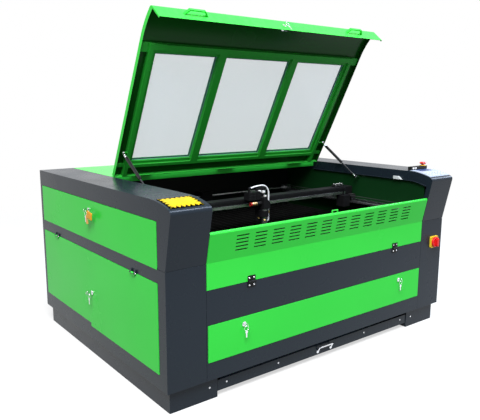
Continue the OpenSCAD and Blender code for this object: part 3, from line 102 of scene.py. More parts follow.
class Shader:
    """One material with its principled shader and short ways to add nodes."""

    def __init__(self, name, rough=0.5, metal=0.0, gloss=0.5):
        self.mat = bpy.data.materials.new(name)
        self.mat.use_nodes = True
        self.tree = self.mat.node_tree
        self.out = self.tree.nodes["Principled BSDF"]
        self.set("Roughness", rough)
        self.set("Metallic", metal)
        self.set("Specular IOR Level", gloss)
        coords = self.add("ShaderNodeTexCoord")
        self.place = coords.outputs["Object"]
        self.facing = coords.outputs["Normal"]

    def add(self, kind, **values):
        node = self.tree.nodes.new(kind)
        for key, value in values.items():
            setattr(node, key, value)
        return node

    def link(self, start, end):
        self.tree.links.new(start, end)

    def set(self, socket, value):
        self.out.inputs[socket].default_value = value

    def colour(self, value):
        self.link(value, self.out.inputs["Base Color"])

    def rough(self, value):
        self.link(value, self.out.inputs["Roughness"])

    def metal(self, value):
        self.link(value, self.out.inputs["Metallic"])

    def stretched(self, scale, shift=(0, 0, 0)):
        node = self.add("ShaderNodeMapping")
        self.link(self.place, node.inputs["Vector"])
        node.inputs["Scale"].default_value = scale
        node.inputs["Location"].default_value = shift
        return node.outputs["Vector"]

    def reach(self, vector):
        node = self.add("ShaderNodeVectorMath", operation="LENGTH")
        self.link(vector, node.inputs[0])
        return node.outputs["Value"]

    def along(self, vector, way):
        node = self.add("ShaderNodeVectorMath", operation="DOT_PRODUCT")
        self.link(vector, node.inputs[0])
        node.inputs[1].default_value = way
        return node.outputs["Value"]

    def part(self, vector, index):
        node = self.add("ShaderNodeSeparateXYZ")
        self.link(vector, node.inputs[0])
        return node.outputs[index]

    def noise(self, scale, detail, at=None):
        node = self.add("ShaderNodeTexNoise")
        self.link(at or self.place, node.inputs["Vector"])
        node.inputs["Scale"].default_value = scale
        node.inputs["Detail"].default_value = detail
        return node.outputs["Fac"]

    def span(self, value, low, high, start=NOISE_LOW, end=NOISE_HIGH):
        """Goes from low to high as the value goes from start to end."""
        node = self.add("ShaderNodeMapRange")
        self.link(value, node.inputs["Value"])
        node.inputs["From Min"].default_value = start
        node.inputs["From Max"].default_value = end
        node.inputs["To Min"].default_value = low
        node.inputs["To Max"].default_value = high
        return node.outputs["Result"]

    def join(self, first, second, operation):
        node = self.add("ShaderNodeMath", operation=operation)
        self.link(first, node.inputs[0])
        self.link(second, node.inputs[1])
        return node.outputs[0]

    def times(self, first, second):
        return self.join(first, second, "MULTIPLY")

    def either(self, first, second):
        return self.join(first, second, "MAXIMUM")

    def ramp(self, value, first, second, start=NOISE_LOW, end=NOISE_HIGH):
        """Goes from the first colour to the second as the value goes from start to end."""
        node = self.add("ShaderNodeValToRGB")
        self.link(value, node.inputs["Fac"])
        for element, place, colour in zip(node.color_ramp.elements, (start, end), (first, second)):
            element.position = place
            element.color = (*colour, 1)
        return node.outputs["Color"]

    def mix(self, share, first, second):
        """The first colour, which comes from a node, towards a second plain one."""
        node = self.add("ShaderNodeMix", data_type="RGBA")
        self.link(share, node.inputs[0])
        self.link(first, node.inputs[6])
        node.inputs[7].default_value = (*second, 1)
        return node.outputs[2]

    def bump(self, height, strength, depth, edge):
        """Surface relief over edges that are softened by a small radius; returns the edge mask."""
        soft = self.add("ShaderNodeBevel", samples=BEVEL_SAMPLES)
        soft.inputs["Radius"].default_value = edge
        node = self.add("ShaderNodeBump")
        node.inputs["Strength"].default_value = strength
        node.inputs["Distance"].default_value = depth
        self.link(height, node.inputs["Height"])
        self.link(soft.outputs["Normal"], node.inputs["Normal"])
        self.link(node.outputs["Normal"], self.out.inputs["Normal"])
        flat = self.add("ShaderNodeNewGeometry")
        bend = self.add("ShaderNodeVectorMath", operation="DOT_PRODUCT")
        self.link(soft.outputs["Normal"], bend.inputs[0])
        self.link(flat.outputs["True Normal"], bend.inputs[1])
        return self.span(bend.outputs["Value"], low=1.0, high=0.0, start=EDGE_BEND, end=FLAT_BEND)


def shade(colour, factor):
    return tuple(min(1.0, c * factor) for c in colour)


# Finishes
DUST = (0.4, 0.4, 0.4)
PLATING = (0.75, 0.76, 0.78)
PEEL_EDGE = 0.9 * MM
PLATED_EDGE = 0.6 * MM
LID_UNDER = (0, -0.6, -0.8)
TOOTH_WAVES = 63
PAD_LEVELS = (3.2, 3.5)
ACRYLIC_IOR = 1.49


def powder_coat(name, colour, rough, gloss=0.1, grain=700, peel=0.02, edge=PEEL_EDGE, wear_and_highlight=0.3, dust=0.06,
                painted_inner_shade=None):
    """Sprayed sheet metal: orange peel, faint clouding, edges paler from wear and a painted highlight, a little
    dust on upper faces, and optionally a painted shade inside the lid.
    """
    s = Shader(name, gloss=gloss)
    rubbed = s.bump(s.noise(grain, detail=2), strength=peel, depth=0.4 * MM, edge=edge)
    paint = s.ramp(s.noise(2.2, detail=4), shade(colour, 0.97), shade(colour, 1.03))
    # Painted shade: the lid skin's inner faces and skirts get a much darker green for the shade they stand in
    if painted_inner_shade:
        paint = s.mix(lid_inside_shade_mask(s), paint, painted_inner_shade)
    upper = s.span(s.part(s.facing, 2), low=0.0, high=dust, start=0.5, end=0.95)
    specks = s.span(s.noise(40, detail=6), low=0.0, high=1.0, start=0.35, end=0.65)
    dusty = s.mix(s.times(upper, specks), paint, DUST)
    # Paler edges: partly wear and partly a painted highlight along the softened edges
    patches = s.span(s.noise(25, detail=5), low=0.2 * wear_and_highlight, high=wear_and_highlight, start=0.4, end=0.65)
    s.colour(s.mix(s.times(rubbed, patches), dusty, shade(colour, 2.2)))
    s.rough(s.span(s.noise(6, detail=5), low=rough - 0.03, high=rough + 0.04))
    return s.mat


def lid_inside_shade_mask(s):
    """Painted shade mask: one on the lid skin's inner faces and its skirts' inner faces, found from the way they
    face in the open lid, where they stand in shade.
    """
    under = s.span(s.along(s.facing, LID_UNDER), low=0.0, high=1.0, start=0.25, end=0.4)
    across = s.times(s.part(s.facing, 0), s.part(s.place, 0))
    skirt = s.span(across, low=1.0, high=0.0, start=-0.5, end=-0.3)
    return s.either(under, skirt)


def strut_metal(name, dark, start, end):
    """Gas strut part: dark before start along the strut, plated past end."""
    s = Shader(name, rough=0.22, gloss=0.4)
    s.bump(s.noise(900, detail=2), strength=0.03, depth=0.1 * MM, edge=PLATED_EDGE)
    from_head = s.stretched((1, 1, 1), (0, (MID_Y - STRUT_HEAD[0]) * MM, -STRUT_HEAD[1] * MM))
    plated = s.span(s.along(from_head, STRUT_WAY), low=0.0, high=1.0, start=start * MM, end=end * MM)
    s.colour(s.mix(plated, s.ramp(s.noise(40, detail=4), shade(dark, 0.85), dark), PLATING))
    s.metal(plated)
    return s.mat


def brushed_metal(name, colour, rough, axis):
    """Ground or drawn metal with fine streaks along one axis."""
    s = Shader(name, metal=1.0)
    scale = [900, 900, 900]
    scale[axis] = 15
    streak = s.noise(1.0, detail=4, at=s.stretched(scale))
    rubbed = s.bump(streak, strength=0.08, depth=0.2 * MM, edge=0.5 * MM)
    drawn = s.ramp(streak, shade(colour, 0.8), shade(colour, 1.1), start=0.25, end=0.75)
    s.colour(s.mix(rubbed, drawn, shade(colour, 1.2)))
    s.rough(s.span(streak, low=rough - 0.08, high=rough + 0.1))
    return s.mat


def plated_metal(name, colour, rough):
    """Bright plating with faint wiping marks."""
    s = Shader(name, metal=1.0)
    s.bump(s.noise(900, detail=2), strength=0.04, depth=0.1 * MM, edge=PLATED_EDGE)
    s.colour(s.ramp(s.noise(60, detail=4), shade(colour, 0.88), colour))
    s.rough(s.span(s.noise(220, detail=3), low=rough, high=rough + 0.14))
    return s.mat


def moulded_plastic(name, colour, rough, grain=0.15, gloss=0.5):
    """Moulded plastic with a fine spark-eroded grain and paler rubbed edges."""
    s = Shader(name, gloss=gloss)
    rubbed = s.bump(s.noise(1600, detail=2), strength=grain, depth=0.2 * MM, edge=0.8 * MM)
    cast = s.ramp(s.noise(14, detail=4), shade(colour, 0.92), shade(colour, 1.05))
    patches = s.span(s.noise(60, detail=4), low=0.1, high=0.4)
    s.colour(s.mix(s.times(rubbed, patches), cast, shade(colour, 1.3)))
    s.rough(s.span(s.noise(90, detail=3), low=rough - 0.05, high=rough + 0.08))
    return s.mat


def toothed_rubber(name, colour):
    """Timing belt with cross ribs along y."""
    s = Shader(name, rough=0.75, gloss=0.3)
    wave = s.add("ShaderNodeTexWave", bands_direction="Y")
    s.link(s.place, wave.inputs["Vector"])
    wave.inputs["Scale"].default_value = TOOTH_WAVES
    ribs = wave.outputs["Fac"]
    s.colour(s.ramp(ribs, shade(colour, 0.6), shade(colour, 1.5), start=0.2, end=0.8))
    s.bump(ribs, strength=0.5, depth=0.6 * MM, edge=0.3 * MM)
    return s.mat


def clear_sheet(name, colour, alpha, rough):
    """Acrylic or glass, with faint handling marks in its gloss."""
    s = Shader(name)
    s.colour(s.ramp(s.noise(1.6, detail=3), shade(colour, 0.97), shade(colour, 1.02)))
    s.rough(s.span(s.noise(9, detail=6), low=rough, high=rough + 0.12))
    s.set("Alpha", alpha)
    s.set("IOR", ACRYLIC_IOR)
    return s.mat


def keypad_film(name, film, pads, rough):
    """Printed membrane: its raised pads stand further from the brow's axis and are paler."""
    s = Shader(name, gloss=0.2)
    s.bump(s.noise(1400, detail=2), strength=0.06, depth=0.2 * MM, edge=0.7 * MM)
    radius = s.reach(s.stretched((0, 1, 1), (0, (MID_Y - BROW_Y) * MM, -BROW_Z * MM)))
    low, high = ((BROW_R + level) * MM for level in PAD_LEVELS)
    raised = s.span(radius, low=0.0, high=1.0, start=low, end=high)
    mottle = s.ramp(s.noise(20, detail=4), shade(film, 0.95), shade(film, 1.04))
    s.colour(s.mix(raised, mottle, pads))
    s.rough(s.span(s.noise(70, detail=4), low=rough - 0.06, high=rough + 0.08))
    return s.mat


# The upper lock's own small tag: all of the lock ahead of this y and below this z, with a short fade
LOCK_TAG_Y = (694.4, 694.9)
LOCK_TAG_Z = (736.2, 736.6)


def tagged_lock(name, dull, bright, tag):
    """Plated lock whose own small tag is coloured plastic."""
    s = Shader(name, rough=0.16)
    s.bump(s.noise(900, detail=2), strength=0.04, depth=0.1 * MM, edge=PLATED_EDGE)
    start, end = ((y - MID_Y) * MM for y in LOCK_TAG_Y)
    ahead = s.span(s.part(s.place, 1), low=1.0, high=0.0, start=start, end=end)
    start, end = (z * MM for z in LOCK_TAG_Z)
    below = s.span(s.part(s.place, 2), low=1.0, high=0.0, start=start, end=end)
    share = s.times(ahead, below)
    s.colour(s.mix(share, s.ramp(s.noise(60, detail=4), dull, bright), tag))
    s.metal(s.span(share, low=1.0, high=0.0, start=0.0, end=1.0))
    return s.mat


GREEN = (0.04, 0.68, 0.062)
SLATE = (0.0112, 0.0178, 0.0262)
BLACK = (0.008, 0.008, 0.009)
STEEL = (0.62, 0.63, 0.65)
CHROME = (0.78, 0.79, 0.81)
DULL_CHROME = (0.69, 0.7, 0.71)
ORANGE = (0.78, 0.36, 0.004)

FINISH = {
    "green_paint": powder_coat("green_paint", GREEN, rough=0.24),
    "slate_paint": powder_coat("slate_paint", SLATE, rough=0.27, gloss=0.18, peel=0.025, wear_and_highlight=0.6, dust=0.02),
    # Lid frame: the green is halved as a painted shade for the lid's underside, and its edges are fully lightened
    # as a painted highlight
    "lid_inner_paint": powder_coat("lid_inner_paint", shade(GREEN, 0.5), rough=0.34, edge=1.2 * MM, wear_and_highlight=1.0),
    "chamber_paint": powder_coat("chamber_paint", (0.004, 0.006, 0.005), rough=0.42, dust=0.01),
    "table_aluminium": brushed_metal("table_aluminium", (0.3, 0.31, 0.32), rough=0.42, axis=1),
    "black_anodised": powder_coat("black_anodised", BLACK, rough=0.4, grain=1400, dust=0.01),
    "bright_steel": brushed_metal("bright_steel", STEEL, rough=0.26, axis=0),
    "chrome": plated_metal("chrome", CHROME, rough=0.1),
    "black_metal": powder_coat("black_metal", BLACK, rough=0.34, grain=1200, dust=0.01),
    "belt_rubber": toothed_rubber("belt_rubber", (0.015, 0.015, 0.015)),
    "tube_glass": clear_sheet("tube_glass", (0.72, 0.8, 0.86), alpha=0.4, rough=0.04),
    "pane": clear_sheet("pane", (0.45, 0.78, 0.92), alpha=0.24, rough=0.1),
    "electronics_grey": moulded_plastic("electronics_grey", (0.3, 0.31, 0.32), rough=0.55),
    "panel_white": moulded_plastic("panel_white", (0.62, 0.66, 0.68), rough=0.42),
    "screen": moulded_plastic("screen", (0.03, 0.06, 0.16), rough=0.3, grain=0.02, gloss=0.12),
    "black_plastic": moulded_plastic("black_plastic", BLACK, rough=0.45, gloss=0.3),
    "yellow_plastic": moulded_plastic("yellow_plastic", (0.82, 0.56, 0.02), rough=0.4),
    "red_plastic": moulded_plastic("red_plastic", (0.7, 0.012, 0.012), rough=0.3, grain=0.05),
    "hose_white": moulded_plastic("hose_white", (0.8, 0.82, 0.84), rough=0.4, grain=0.05),
}
# Painted shade: the chamber's side walls are a green darkened to near black for the shade inside the chamber
WALL_PAINTED_SHADE = powder_coat("wall_painted_shade", (0.0035, 0.028, 0.007), rough=0.4, dust=0.0)
SOOTED = brushed_metal("sooted_aluminium", (0.05, 0.05, 0.05), rough=0.5, axis=1)
DARK_BLOCK = powder_coat("dark_block", (0.014, 0.014, 0.015), rough=0.4, grain=1400)
STRUT_TUBE = strut_metal("strut_tube", BLACK, start=STRUT_NECK + STRUT_FADE, end=STRUT_NECK - STRUT_FADE)
STRUT_ROD = strut_metal("strut_rod", (0.03, 0.031, 0.034),
                        start=STRUT_L - STRUT_EYE - STRUT_FADE, end=STRUT_L - STRUT_EYE + STRUT_FADE)
SPECIAL = {
    # The lid skin's inner faces are painted at about a tenth of the green's brightness as painted shade
    "lid_skin": powder_coat("lid_skin_paint_shaded_inside", GREEN, rough=0.24, painted_inner_shade=shade(GREEN, 0.11)),
    "left_strut_cylinder": STRUT_TUBE,
    "right_strut_cylinder": STRUT_TUBE,
    "left_strut_rod": STRUT_ROD,
    "right_strut_rod": STRUT_ROD,
    "left_wall": WALL_PAINTED_SHADE,
    "right_wall": WALL_PAINTED_SHADE,
    "table_frame": SOOTED,
    "blade_slats": SOOTED,
    "gantry_end_blocks": DARK_BLOCK,
    "control_panel": keypad_film("keypad_film", film=(0.36, 0.41, 0.5), pads=(0.5, 0.54, 0.55), rough=0.3),
    "left_upper_lock": tagged_lock("tagged_lock", dull=DULL_CHROME, bright=CHROME, tag=ORANGE),
}
PLATE_YELLOW = moulded_plastic("plate_yellow", (0.62, 0.43, 0.005), rough=0.4, grain=0.05, gloss=0.25)
PLATE_BLACK = moulded_plastic("plate_black", (0.003, 0.003, 0.003), rough=0.85, grain=0.05, gloss=0.0)
TAG_ORANGE = moulded_plastic("tag_orange", ORANGE, rough=0.42, grain=0.08, gloss=0.25)
DARK_RED = moulded_plastic("dark_red", (0.34, 0.012, 0.008), rough=0.34, grain=0.05)
NYLON = moulded_plastic("nylon", (0.92, 0.92, 0.9), rough=0.45)
IVORY = moulded_plastic("ivory", (0.86, 0.66, 0.2), rough=0.4)
BRASS = plated_metal("brass", (0.72, 0.5, 0.24), rough=0.24)
ZINC = plated_metal("zinc", (0.7, 0.71, 0.73), rough=0.2)


def finish_solids():
    for part in frame["record"]["subparts"]:
        node = frame["nodes"][part["node"]]
        node.data.materials.clear()
        node.data.materials.append(SPECIAL.get(part["node"], FINISH[part["material_slot"]]))


# Places on the machine, from its own millimetres
def axes(x, y, z, right, up):
    """A frame at a point: local millimetres to the right, up, and outward."""
    turn = Matrix((right, up, right.cross(up))).transposed().to_4x4()
    place = Vector(((x - HALF_W) * MM, (y - MID_Y) * MM, z * MM))
    return Matrix.Translation(place) @ turn @ Matrix.Scale(MM, 4)


def on_front(x, z, y):
    return axes(x, y, z, X, Z)


def on_left(y, z, x):
    return axes(x, y, z, -Y, Z)


def on_top(x, y, z):
    return axes(x, y, z, X, Y)


def on_brow(x, y):
    away = Vector((0, y - BROW_Y, math.sqrt(BROW_R ** 2 - (y - BROW_Y) ** 2))) / BROW_R
    return axes(x, y, BROW_Z + away.z * BROW_R, X, away.cross(X))


def along_x(x, y, z):
    return axes(x, y, z, Y, Z)


# Mesh kit
CORNER_STEPS = 6
TURN_STEPS = 28
SCREW_STEPS = 18
SHARP_ANGLE = math.radians(38)
SCREW_HEAD = [(0, 0.35), (0.42, 0.35), (0.5, 1), (0.8, 0.92), (1, 0.45), (1, 0), (0, 0)]


def circle(radius, level, steps):
    return [(radius * math.cos(math.tau * i / steps), radius * math.sin(math.tau * i / steps), level)
            for i in range(steps)]


def rounded(width, height, radius, level):
    """Outline of a rounded rectangle about the origin, at one level."""
    points = []
    for quarter, (sx, sy) in enumerate(((1, 1), (-1, 1), (-1, -1), (1, -1))):
        for i in range(CORNER_STEPS + 1):
            angle = math.pi / 2 * (quarter + i / CORNER_STEPS)
            points.append((sx * (width / 2 - radius) + radius * math.cos(angle),
                           sy * (height / 2 - radius) + radius * math.sin(angle), level))
    return points


class Mould:
    """Gathers the solids of one piece, each given in millimetres in its own frame."""

    def __init__(self):
        self.bm = bmesh.new()

    def ring(self, at, points):
        return [self.bm.verts.new(at @ Vector(point)) for point in points]

    def bridge(self, first, second):
        """Faces between two rings; a ring of one point is a pole."""
        count = max(len(first), len(second))
        for i in range(count):
            j = (i + 1) % count
            corners = [first[i % len(first)], first[j % len(first)],
                       second[j % len(second)], second[i % len(second)]]
            self.bm.faces.new(list(dict.fromkeys(corners)))

    def stack(self, at, levels, cap=True):
        rings = [self.ring(at, level) for level in levels]
        for first, second in zip(rings, rings[1:]):
            self.bridge(first, second)
        if cap:
            self.bm.faces.new(rings[0])
            self.bm.faces.new(rings[-1])
        return rings

    def lathe(self, at, profile, steps=TURN_STEPS):
        """A turned solid from its axis out and back, or a closed ring where it never meets the axis."""
        levels = [circle(r, h, steps) if r else [(0, 0, h)] for r, h in profile]
        rings = self.stack(at, levels, cap=False)
        if profile[0][0]:
            self.bridge(rings[-1], rings[0])

    def slab(self, at, width, height, thick, radius, ease):
        """A plate with rounded corners and an eased upper edge."""
        self.stack(at, [rounded(width, height, radius, 0),
                        rounded(width, height, radius, thick - ease),
                        rounded(width - 2 * ease, height - 2 * ease, radius - ease, thick)])

    def screw(self, at, radius, height):
        """Domed head with a tapered socket."""
        self.lathe(at, [(r * radius, h * height) for r, h in SCREW_HEAD], SCREW_STEPS)

    def make(self, name, body, material, slot):
        bmesh.ops.recalc_face_normals(self.bm, faces=self.bm.faces)
        mesh = bpy.data.meshes.new(name)
        self.bm.to_mesh(mesh)
        self.bm.free()
        mesh.shade_smooth()
        mesh.set_sharp_from_angle(angle=SHARP_ANGLE)
        mesh.materials.append(material)
        piece = bpy.data.objects.new(name, mesh)
        bpy.context.scene.collection.objects.link(piece)
        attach(piece, body)
        return piece


# Plain plate with a toothed border on the left console
PLATE_X = (17.0, 166.0)
PLATE_Y = (-23.0, 77.0)
PLATE_LEVELS = (1.1, 1.9)
PLATE_TEETH = (7, 5)
TOOTH_W, TOOTH_DEEP = 16.0, 15.0
BACKING_LEVELS = (0.05, 1.2)
BACKING_BORDER, BACKING_R = 4.0, 4.0
ROLL_STEP = 6.0


def toothed_outline():
    """Rectangle with a row of notches cut into each side."""
    (x0, x1), (y0, y1) = PLATE_X, PLATE_Y
    corners = [Vector((x0, y0)), Vector((x1, y0)), Vector((x1, y1)), Vector((x0, y1))]
    points = []
    for i, corner in enumerate(corners):
        side = corners[(i + 1) % 4] - corner
        way = side.normalized()
        inward = Vector((-way.y, way.x))
        count = PLATE_TEETH[i % 2]
        points.append(corner)
        for k in range(count):
            middle = corner + side * ((k + 0.5) / count)
            points += [middle - way * TOOTH_W / 2, middle + inward * TOOTH_DEEP, middle + way * TOOTH_W / 2]
    return points


def brow_plate(name, outline, levels, material, slot):
    """A thin plate rolled onto the brow."""
    mould = Mould()
    mould.stack(Matrix.Identity(4), [[(p.x, p.y, level) for p in outline] for level in levels])
    bm = mould.bm
    bmesh.ops.triangulate(bm, faces=bm.faces[:])
    cut = PLATE_Y[0] + ROLL_STEP
    while cut < PLATE_Y[1]:
        bmesh.ops.bisect_plane(bm, geom=bm.verts[:] + bm.edges[:] + bm.faces[:],
                               plane_co=(0, cut, 0), plane_no=(0, 1, 0))
        cut += ROLL_STEP
    for vert in bm.verts:
        vert.co = on_brow(vert.co.x, vert.co.y) @ Vector((0, 0, vert.co.z))
    mould.make(name, "cabinet", material, slot)


def make_console_plate():
    middle = Vector((sum(PLATE_X) / 2, sum(PLATE_Y) / 2))
    width = PLATE_X[1] - PLATE_X[0] + 2 * BACKING_BORDER
    height = PLATE_Y[1] - PLATE_Y[0] + 2 * BACKING_BORDER
    backing = [Vector(p[:2]) + middle for p in rounded(width, height, BACKING_R, 0)]
    brow_plate("console_plate_back", backing, BACKING_LEVELS, PLATE_BLACK, "black_plastic")
    brow_plate("console_plate", toothed_outline(), PLATE_LEVELS, PLATE_YELLOW, "yellow_plastic")


# Top hinges of the lower side doors
HINGE_X = {"left": -6.3, "right": 1856.3}
HINGE_SPOTS = (1137.4, 260.6)
HINGE_Z = 553.0
KNUCKLE_L, KNUCKLE_AT = 12.0, 18.3
PIN_HEAD = [(0, 2.4), (1.6, 2.2), (2.8, 1.4), (3.2, 0.5), (3.2, 0), (0, 0)]
PIN_STEPS = 20


def make_hinges():
    """Bright pin heads at both ends of each hinge."""
    reach = KNUCKLE_AT + KNUCKLE_L / 2
    for side, x in HINGE_X.items():
        pins = Mould()
        for y in HINGE_SPOTS:
            for way in (-1, 1):
                pins.lathe(axes(x, y + way * reach, HINGE_Z, Z * way, X), PIN_HEAD, PIN_STEPS)
        pins.make(side + "_hinge_pins", "cabinet", ZINC, "chrome")


# Orange tag on the upper lock's key ring, with a raised panel
TAG_AT = (648.0, 741.0, -23.0)
TAG_TILT = math.radians(-7)
TAG_W, TAG_H, TAG_T = 56.0, 36.0, 3.0
TAG_R, TAG_EASE = 4.0, 0.8
PANEL_W, PANEL_H, PANEL_T = 36.0, 26.0, 0.8
PANEL_R, PANEL_EASE = 2.0, 0.4
PANEL_SHIFT, PANEL_SINK = 4.0, 0.2


def make_tag():
    tag = Mould()
    at = on_left(*TAG_AT) @ Matrix.Rotation(TAG_TILT, 4, "Z")
    tag.slab(at, TAG_W, TAG_H, TAG_T, TAG_R, TAG_EASE)
    tag.slab(at @ Matrix.Translation((PANEL_SHIFT, 0, TAG_T - PANEL_SINK)),
             PANEL_W, PANEL_H, PANEL_T, PANEL_R, PANEL_EASE)
    tag.make("key_tag", "left_upper_lock", TAG_ORANGE, "yellow_plastic")


# Broad plated head of the key in the lower left lock
BOW_AT = (-24.0, 700.8, 348.0)
BOW_W, BOW_H, BOW_T = 24.0, 19.0, 3.6
BOW_R, BOW_EASE = 8.0, 0.9


def make_key_bow():
    bow = Mould()
    bow.slab(axes(*BOW_AT, -X, Z), BOW_W, BOW_H, BOW_T, BOW_R, BOW_EASE)
    bow.make("lower_key_bow", "left_lower_lock", FINISH["chrome"], "chrome")


# Screws, as radius and height of the head
FLAP_HINGE_X = (430.0, 1420.0)
FLAP_SCREW_DX = 13.0
FLAP_BASE_Z, FLAP_LEAF_Z, FLAP_LEAF_Y = 483.0, 515.0, -3.0
FLAP_SCREW = (4.2, 1.8)
DRAWER_SCREW_X = (314, 617, 1227, 1536)
PLINTH_SCREW_X = (221, 1629)
FOOT_Z, DRAWER_FACE_Y, PLINTH_FACE_Y = 55.0, 25.0, 22.0
FOOT_SCREW = (4.5, 1.8)


def make_screws():
    base, leaf = Mould(), Mould()
    for x in FLAP_HINGE_X:
        for dx in (-FLAP_SCREW_DX, FLAP_SCREW_DX):
            base.screw(on_front(x + dx, FLAP_BASE_Z, FLAP_LEAF_Y), *FLAP_SCREW)
            leaf.screw(on_front(x + dx, FLAP_LEAF_Z, FLAP_LEAF_Y), *FLAP_SCREW)
    base.make("flap_base_screws", "cabinet", ZINC, "chrome")
    leaf.make("flap_leaf_screws", "flap", ZINC, "chrome")
    drawer, plinth = Mould(), Mould()
    for x in DRAWER_SCREW_X:
        drawer.screw(on_front(x, FOOT_Z, DRAWER_FACE_Y), *FOOT_SCREW)
    drawer.make("drawer_screws", "drawer", ZINC, "chrome")
    for x in PLINTH_SCREW_X:
        plinth.screw(on_front(x, FOOT_Z, PLINTH_FACE_Y), *FOOT_SCREW)
    plinth.make("plinth_screws", "cabinet", ZINC, "chrome")


# Emergency stop and switches on the right console
STOP_AT = (1811.0, 125.0, 908.0)
STOP_RING = [(12, 0), (18, 0), (18, 1.8), (17, 2.8), (13, 3), (12, 2.4)]
STOP_STEPS = 36
BUTTON_X = (1706.0, 1727.0)
BUTTON_Z, BUTTON_Y = 898.5, 112.0
BUTTON_W, BUTTON_H, BUTTON_T = 14.0, 9.0, 2.4
BUTTON_R, BUTTON_EASE = 1.6, 0.7


def make_controls():
    ring = Mould()
    ring.lathe(on_top(*STOP_AT), STOP_RING, STOP_STEPS)
    ring.make("e_stop_ring", "cabinet", FINISH["yellow_plastic"], "yellow_plastic")
    buttons = Mould()
    for x in BUTTON_X:
        buttons.slab(on_front(x, BUTTON_Z, BUTTON_Y), BUTTON_W, BUTTON_H, BUTTON_T, BUTTON_R, BUTTON_EASE)
    buttons.make("switch_buttons", "cabinet", NYLON, "hose_white")


# Isolator on the right column
DIAL_AT = (1774.0, 482.0, -10.3)
DIAL_R, DIAL_T, DIAL_RIM, DIAL_DISH = 30.0, 12.0, 5.0, 4.0
DIAL_STEPS = 48
GRIP_W, GRIP_L, GRIP_H, GRIP_SINK = 17.0, 50.0, 15.0, 4.5
GRIP_R, GRIP_EASE = 8.0, 3.0
PLATE_SCREW_AT, PLATE_SCREW_Y = 25.0, -10.0
PLATE_SCREW = (3.0, 1.2)


def make_isolator():
    """Turned dial with a raised rim, a dished face and a rounded grip across it."""
    dial = Mould()
    at = on_front(*DIAL_AT)
    inner, floor = DIAL_R - DIAL_RIM, DIAL_T - DIAL_DISH
    dial.lathe(at, [(0, 0), (DIAL_R - 1, 0), (DIAL_R, 1), (DIAL_R, DIAL_T - 2.5), (DIAL_R - 0.8, DIAL_T - 0.8),
                    (DIAL_R - 2.5, DIAL_T), (inner, DIAL_T), (inner - 1, floor), (0, floor)], DIAL_STEPS)
    dial.slab(at @ Matrix.Translation((0, 0, DIAL_T - GRIP_SINK)),
              GRIP_W, GRIP_L, GRIP_H + GRIP_SINK, GRIP_R, GRIP_EASE)
    piece = dial.make("isolator_dial", "isolator", FINISH["red_plastic"], "red_plastic")
    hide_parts("isolator_knob")
    screws = Mould()
    for dx in (-PLATE_SCREW_AT, PLATE_SCREW_AT):
        for dz in (-PLATE_SCREW_AT, PLATE_SCREW_AT):
            screws.screw(on_front(DIAL_AT[0] + dx, DIAL_AT[1] + dz, PLATE_SCREW_Y), *PLATE_SCREW)
    screws.make("isolator_screws", "cabinet", FINISH["black_metal"], "black_metal")


# Plated ends of the gas struts, as radius and distance past the lid's stud, or before the cabinet's
STRUT_NUT = [(4.4, 12), (6, 12), (7, 13), (7, 24), (6.2, 25), (6.2, 38), (5.6, 39), (4.4, 39)]
STRUT_FERRULE = [(3.9, 25), (5.4, 25), (6.4, 23.5), (6.4, 9), (3.9, 9)]
STRUT_STEPS = 18


def make_strut_ends():
    """A nut on the neck at the lid and a ferrule above the foot."""
    for side, x in STRUT_X.items():
        at = axes(x, *STRUT_HEAD, X, STRUT_WAY.cross(X))
        nut, ferrule = Mould(), Mould()
        nut.lathe(at, STRUT_NUT, STRUT_STEPS)
        nut.make(side + "_strut_nut", side + "_strut_cylinder", FINISH["chrome"], "chrome")
        ferrule.lathe(at, [(r, STRUT_L - back) for r, back in STRUT_FERRULE], STRUT_STEPS)
        ferrule.make(side + "_strut_ferrule", side + "_strut_rod", FINISH["chrome"], "chrome")


# Laser head fittings
HEAD_Y, HEAD_FACE_Y = 439.0, 471.0
BEAM_Z = 740.0
PLUGS = ((859, 799, 13, 12), (885, 794, 14, 13), (896, 771, 10, 10))
PLUG_T, PLUG_R, PLUG_EASE = 12.0, 1.5, 0.8
TIP_Y, TIP_T, TIP_R, TIP_EASE = 459.2, 2.2, 1.0, 0.5
TIP_SHARE_W, TIP_SHARE_H = 0.7, 0.6
COLLAR_X = 774.0
COLLAR = [(7, 0), (9.4, 0), (10.4, 1), (10.4, 10), (9.4, 11), (7, 11)]
SLEEVE_X = 784.5
SLEEVE = [(7, 0), (10, 0), (10.6, 0.8), (10.6, 8), (11.8, 9), (11.8, 22), (11.2, 23), (11.2, 31), (7, 31)]
HOSE_X, HOSE_Z = 899.0, 680.0
HOSE_NUT = [(3.9, 0), (5.4, 0.4), (6.2, 1.4), (6.2, 6), (5, 7), (5, 15), (4.6, 16), (3.9, 16)]
KNOB = [(0, 7), (3, 7.4), (4.6, 6.6), (5, 5), (5, 2), (3.4, 1.6), (3.4, 0), (0, 0)]
FITTING_STEPS = 24
PLATE_KNOB = (857.0, 655.0)
TUBE_KNOB = (861.5, 425.4, 650.0)
TUBE_KNOB_WAY = Vector((-0.53, -0.85, 0)).normalized()


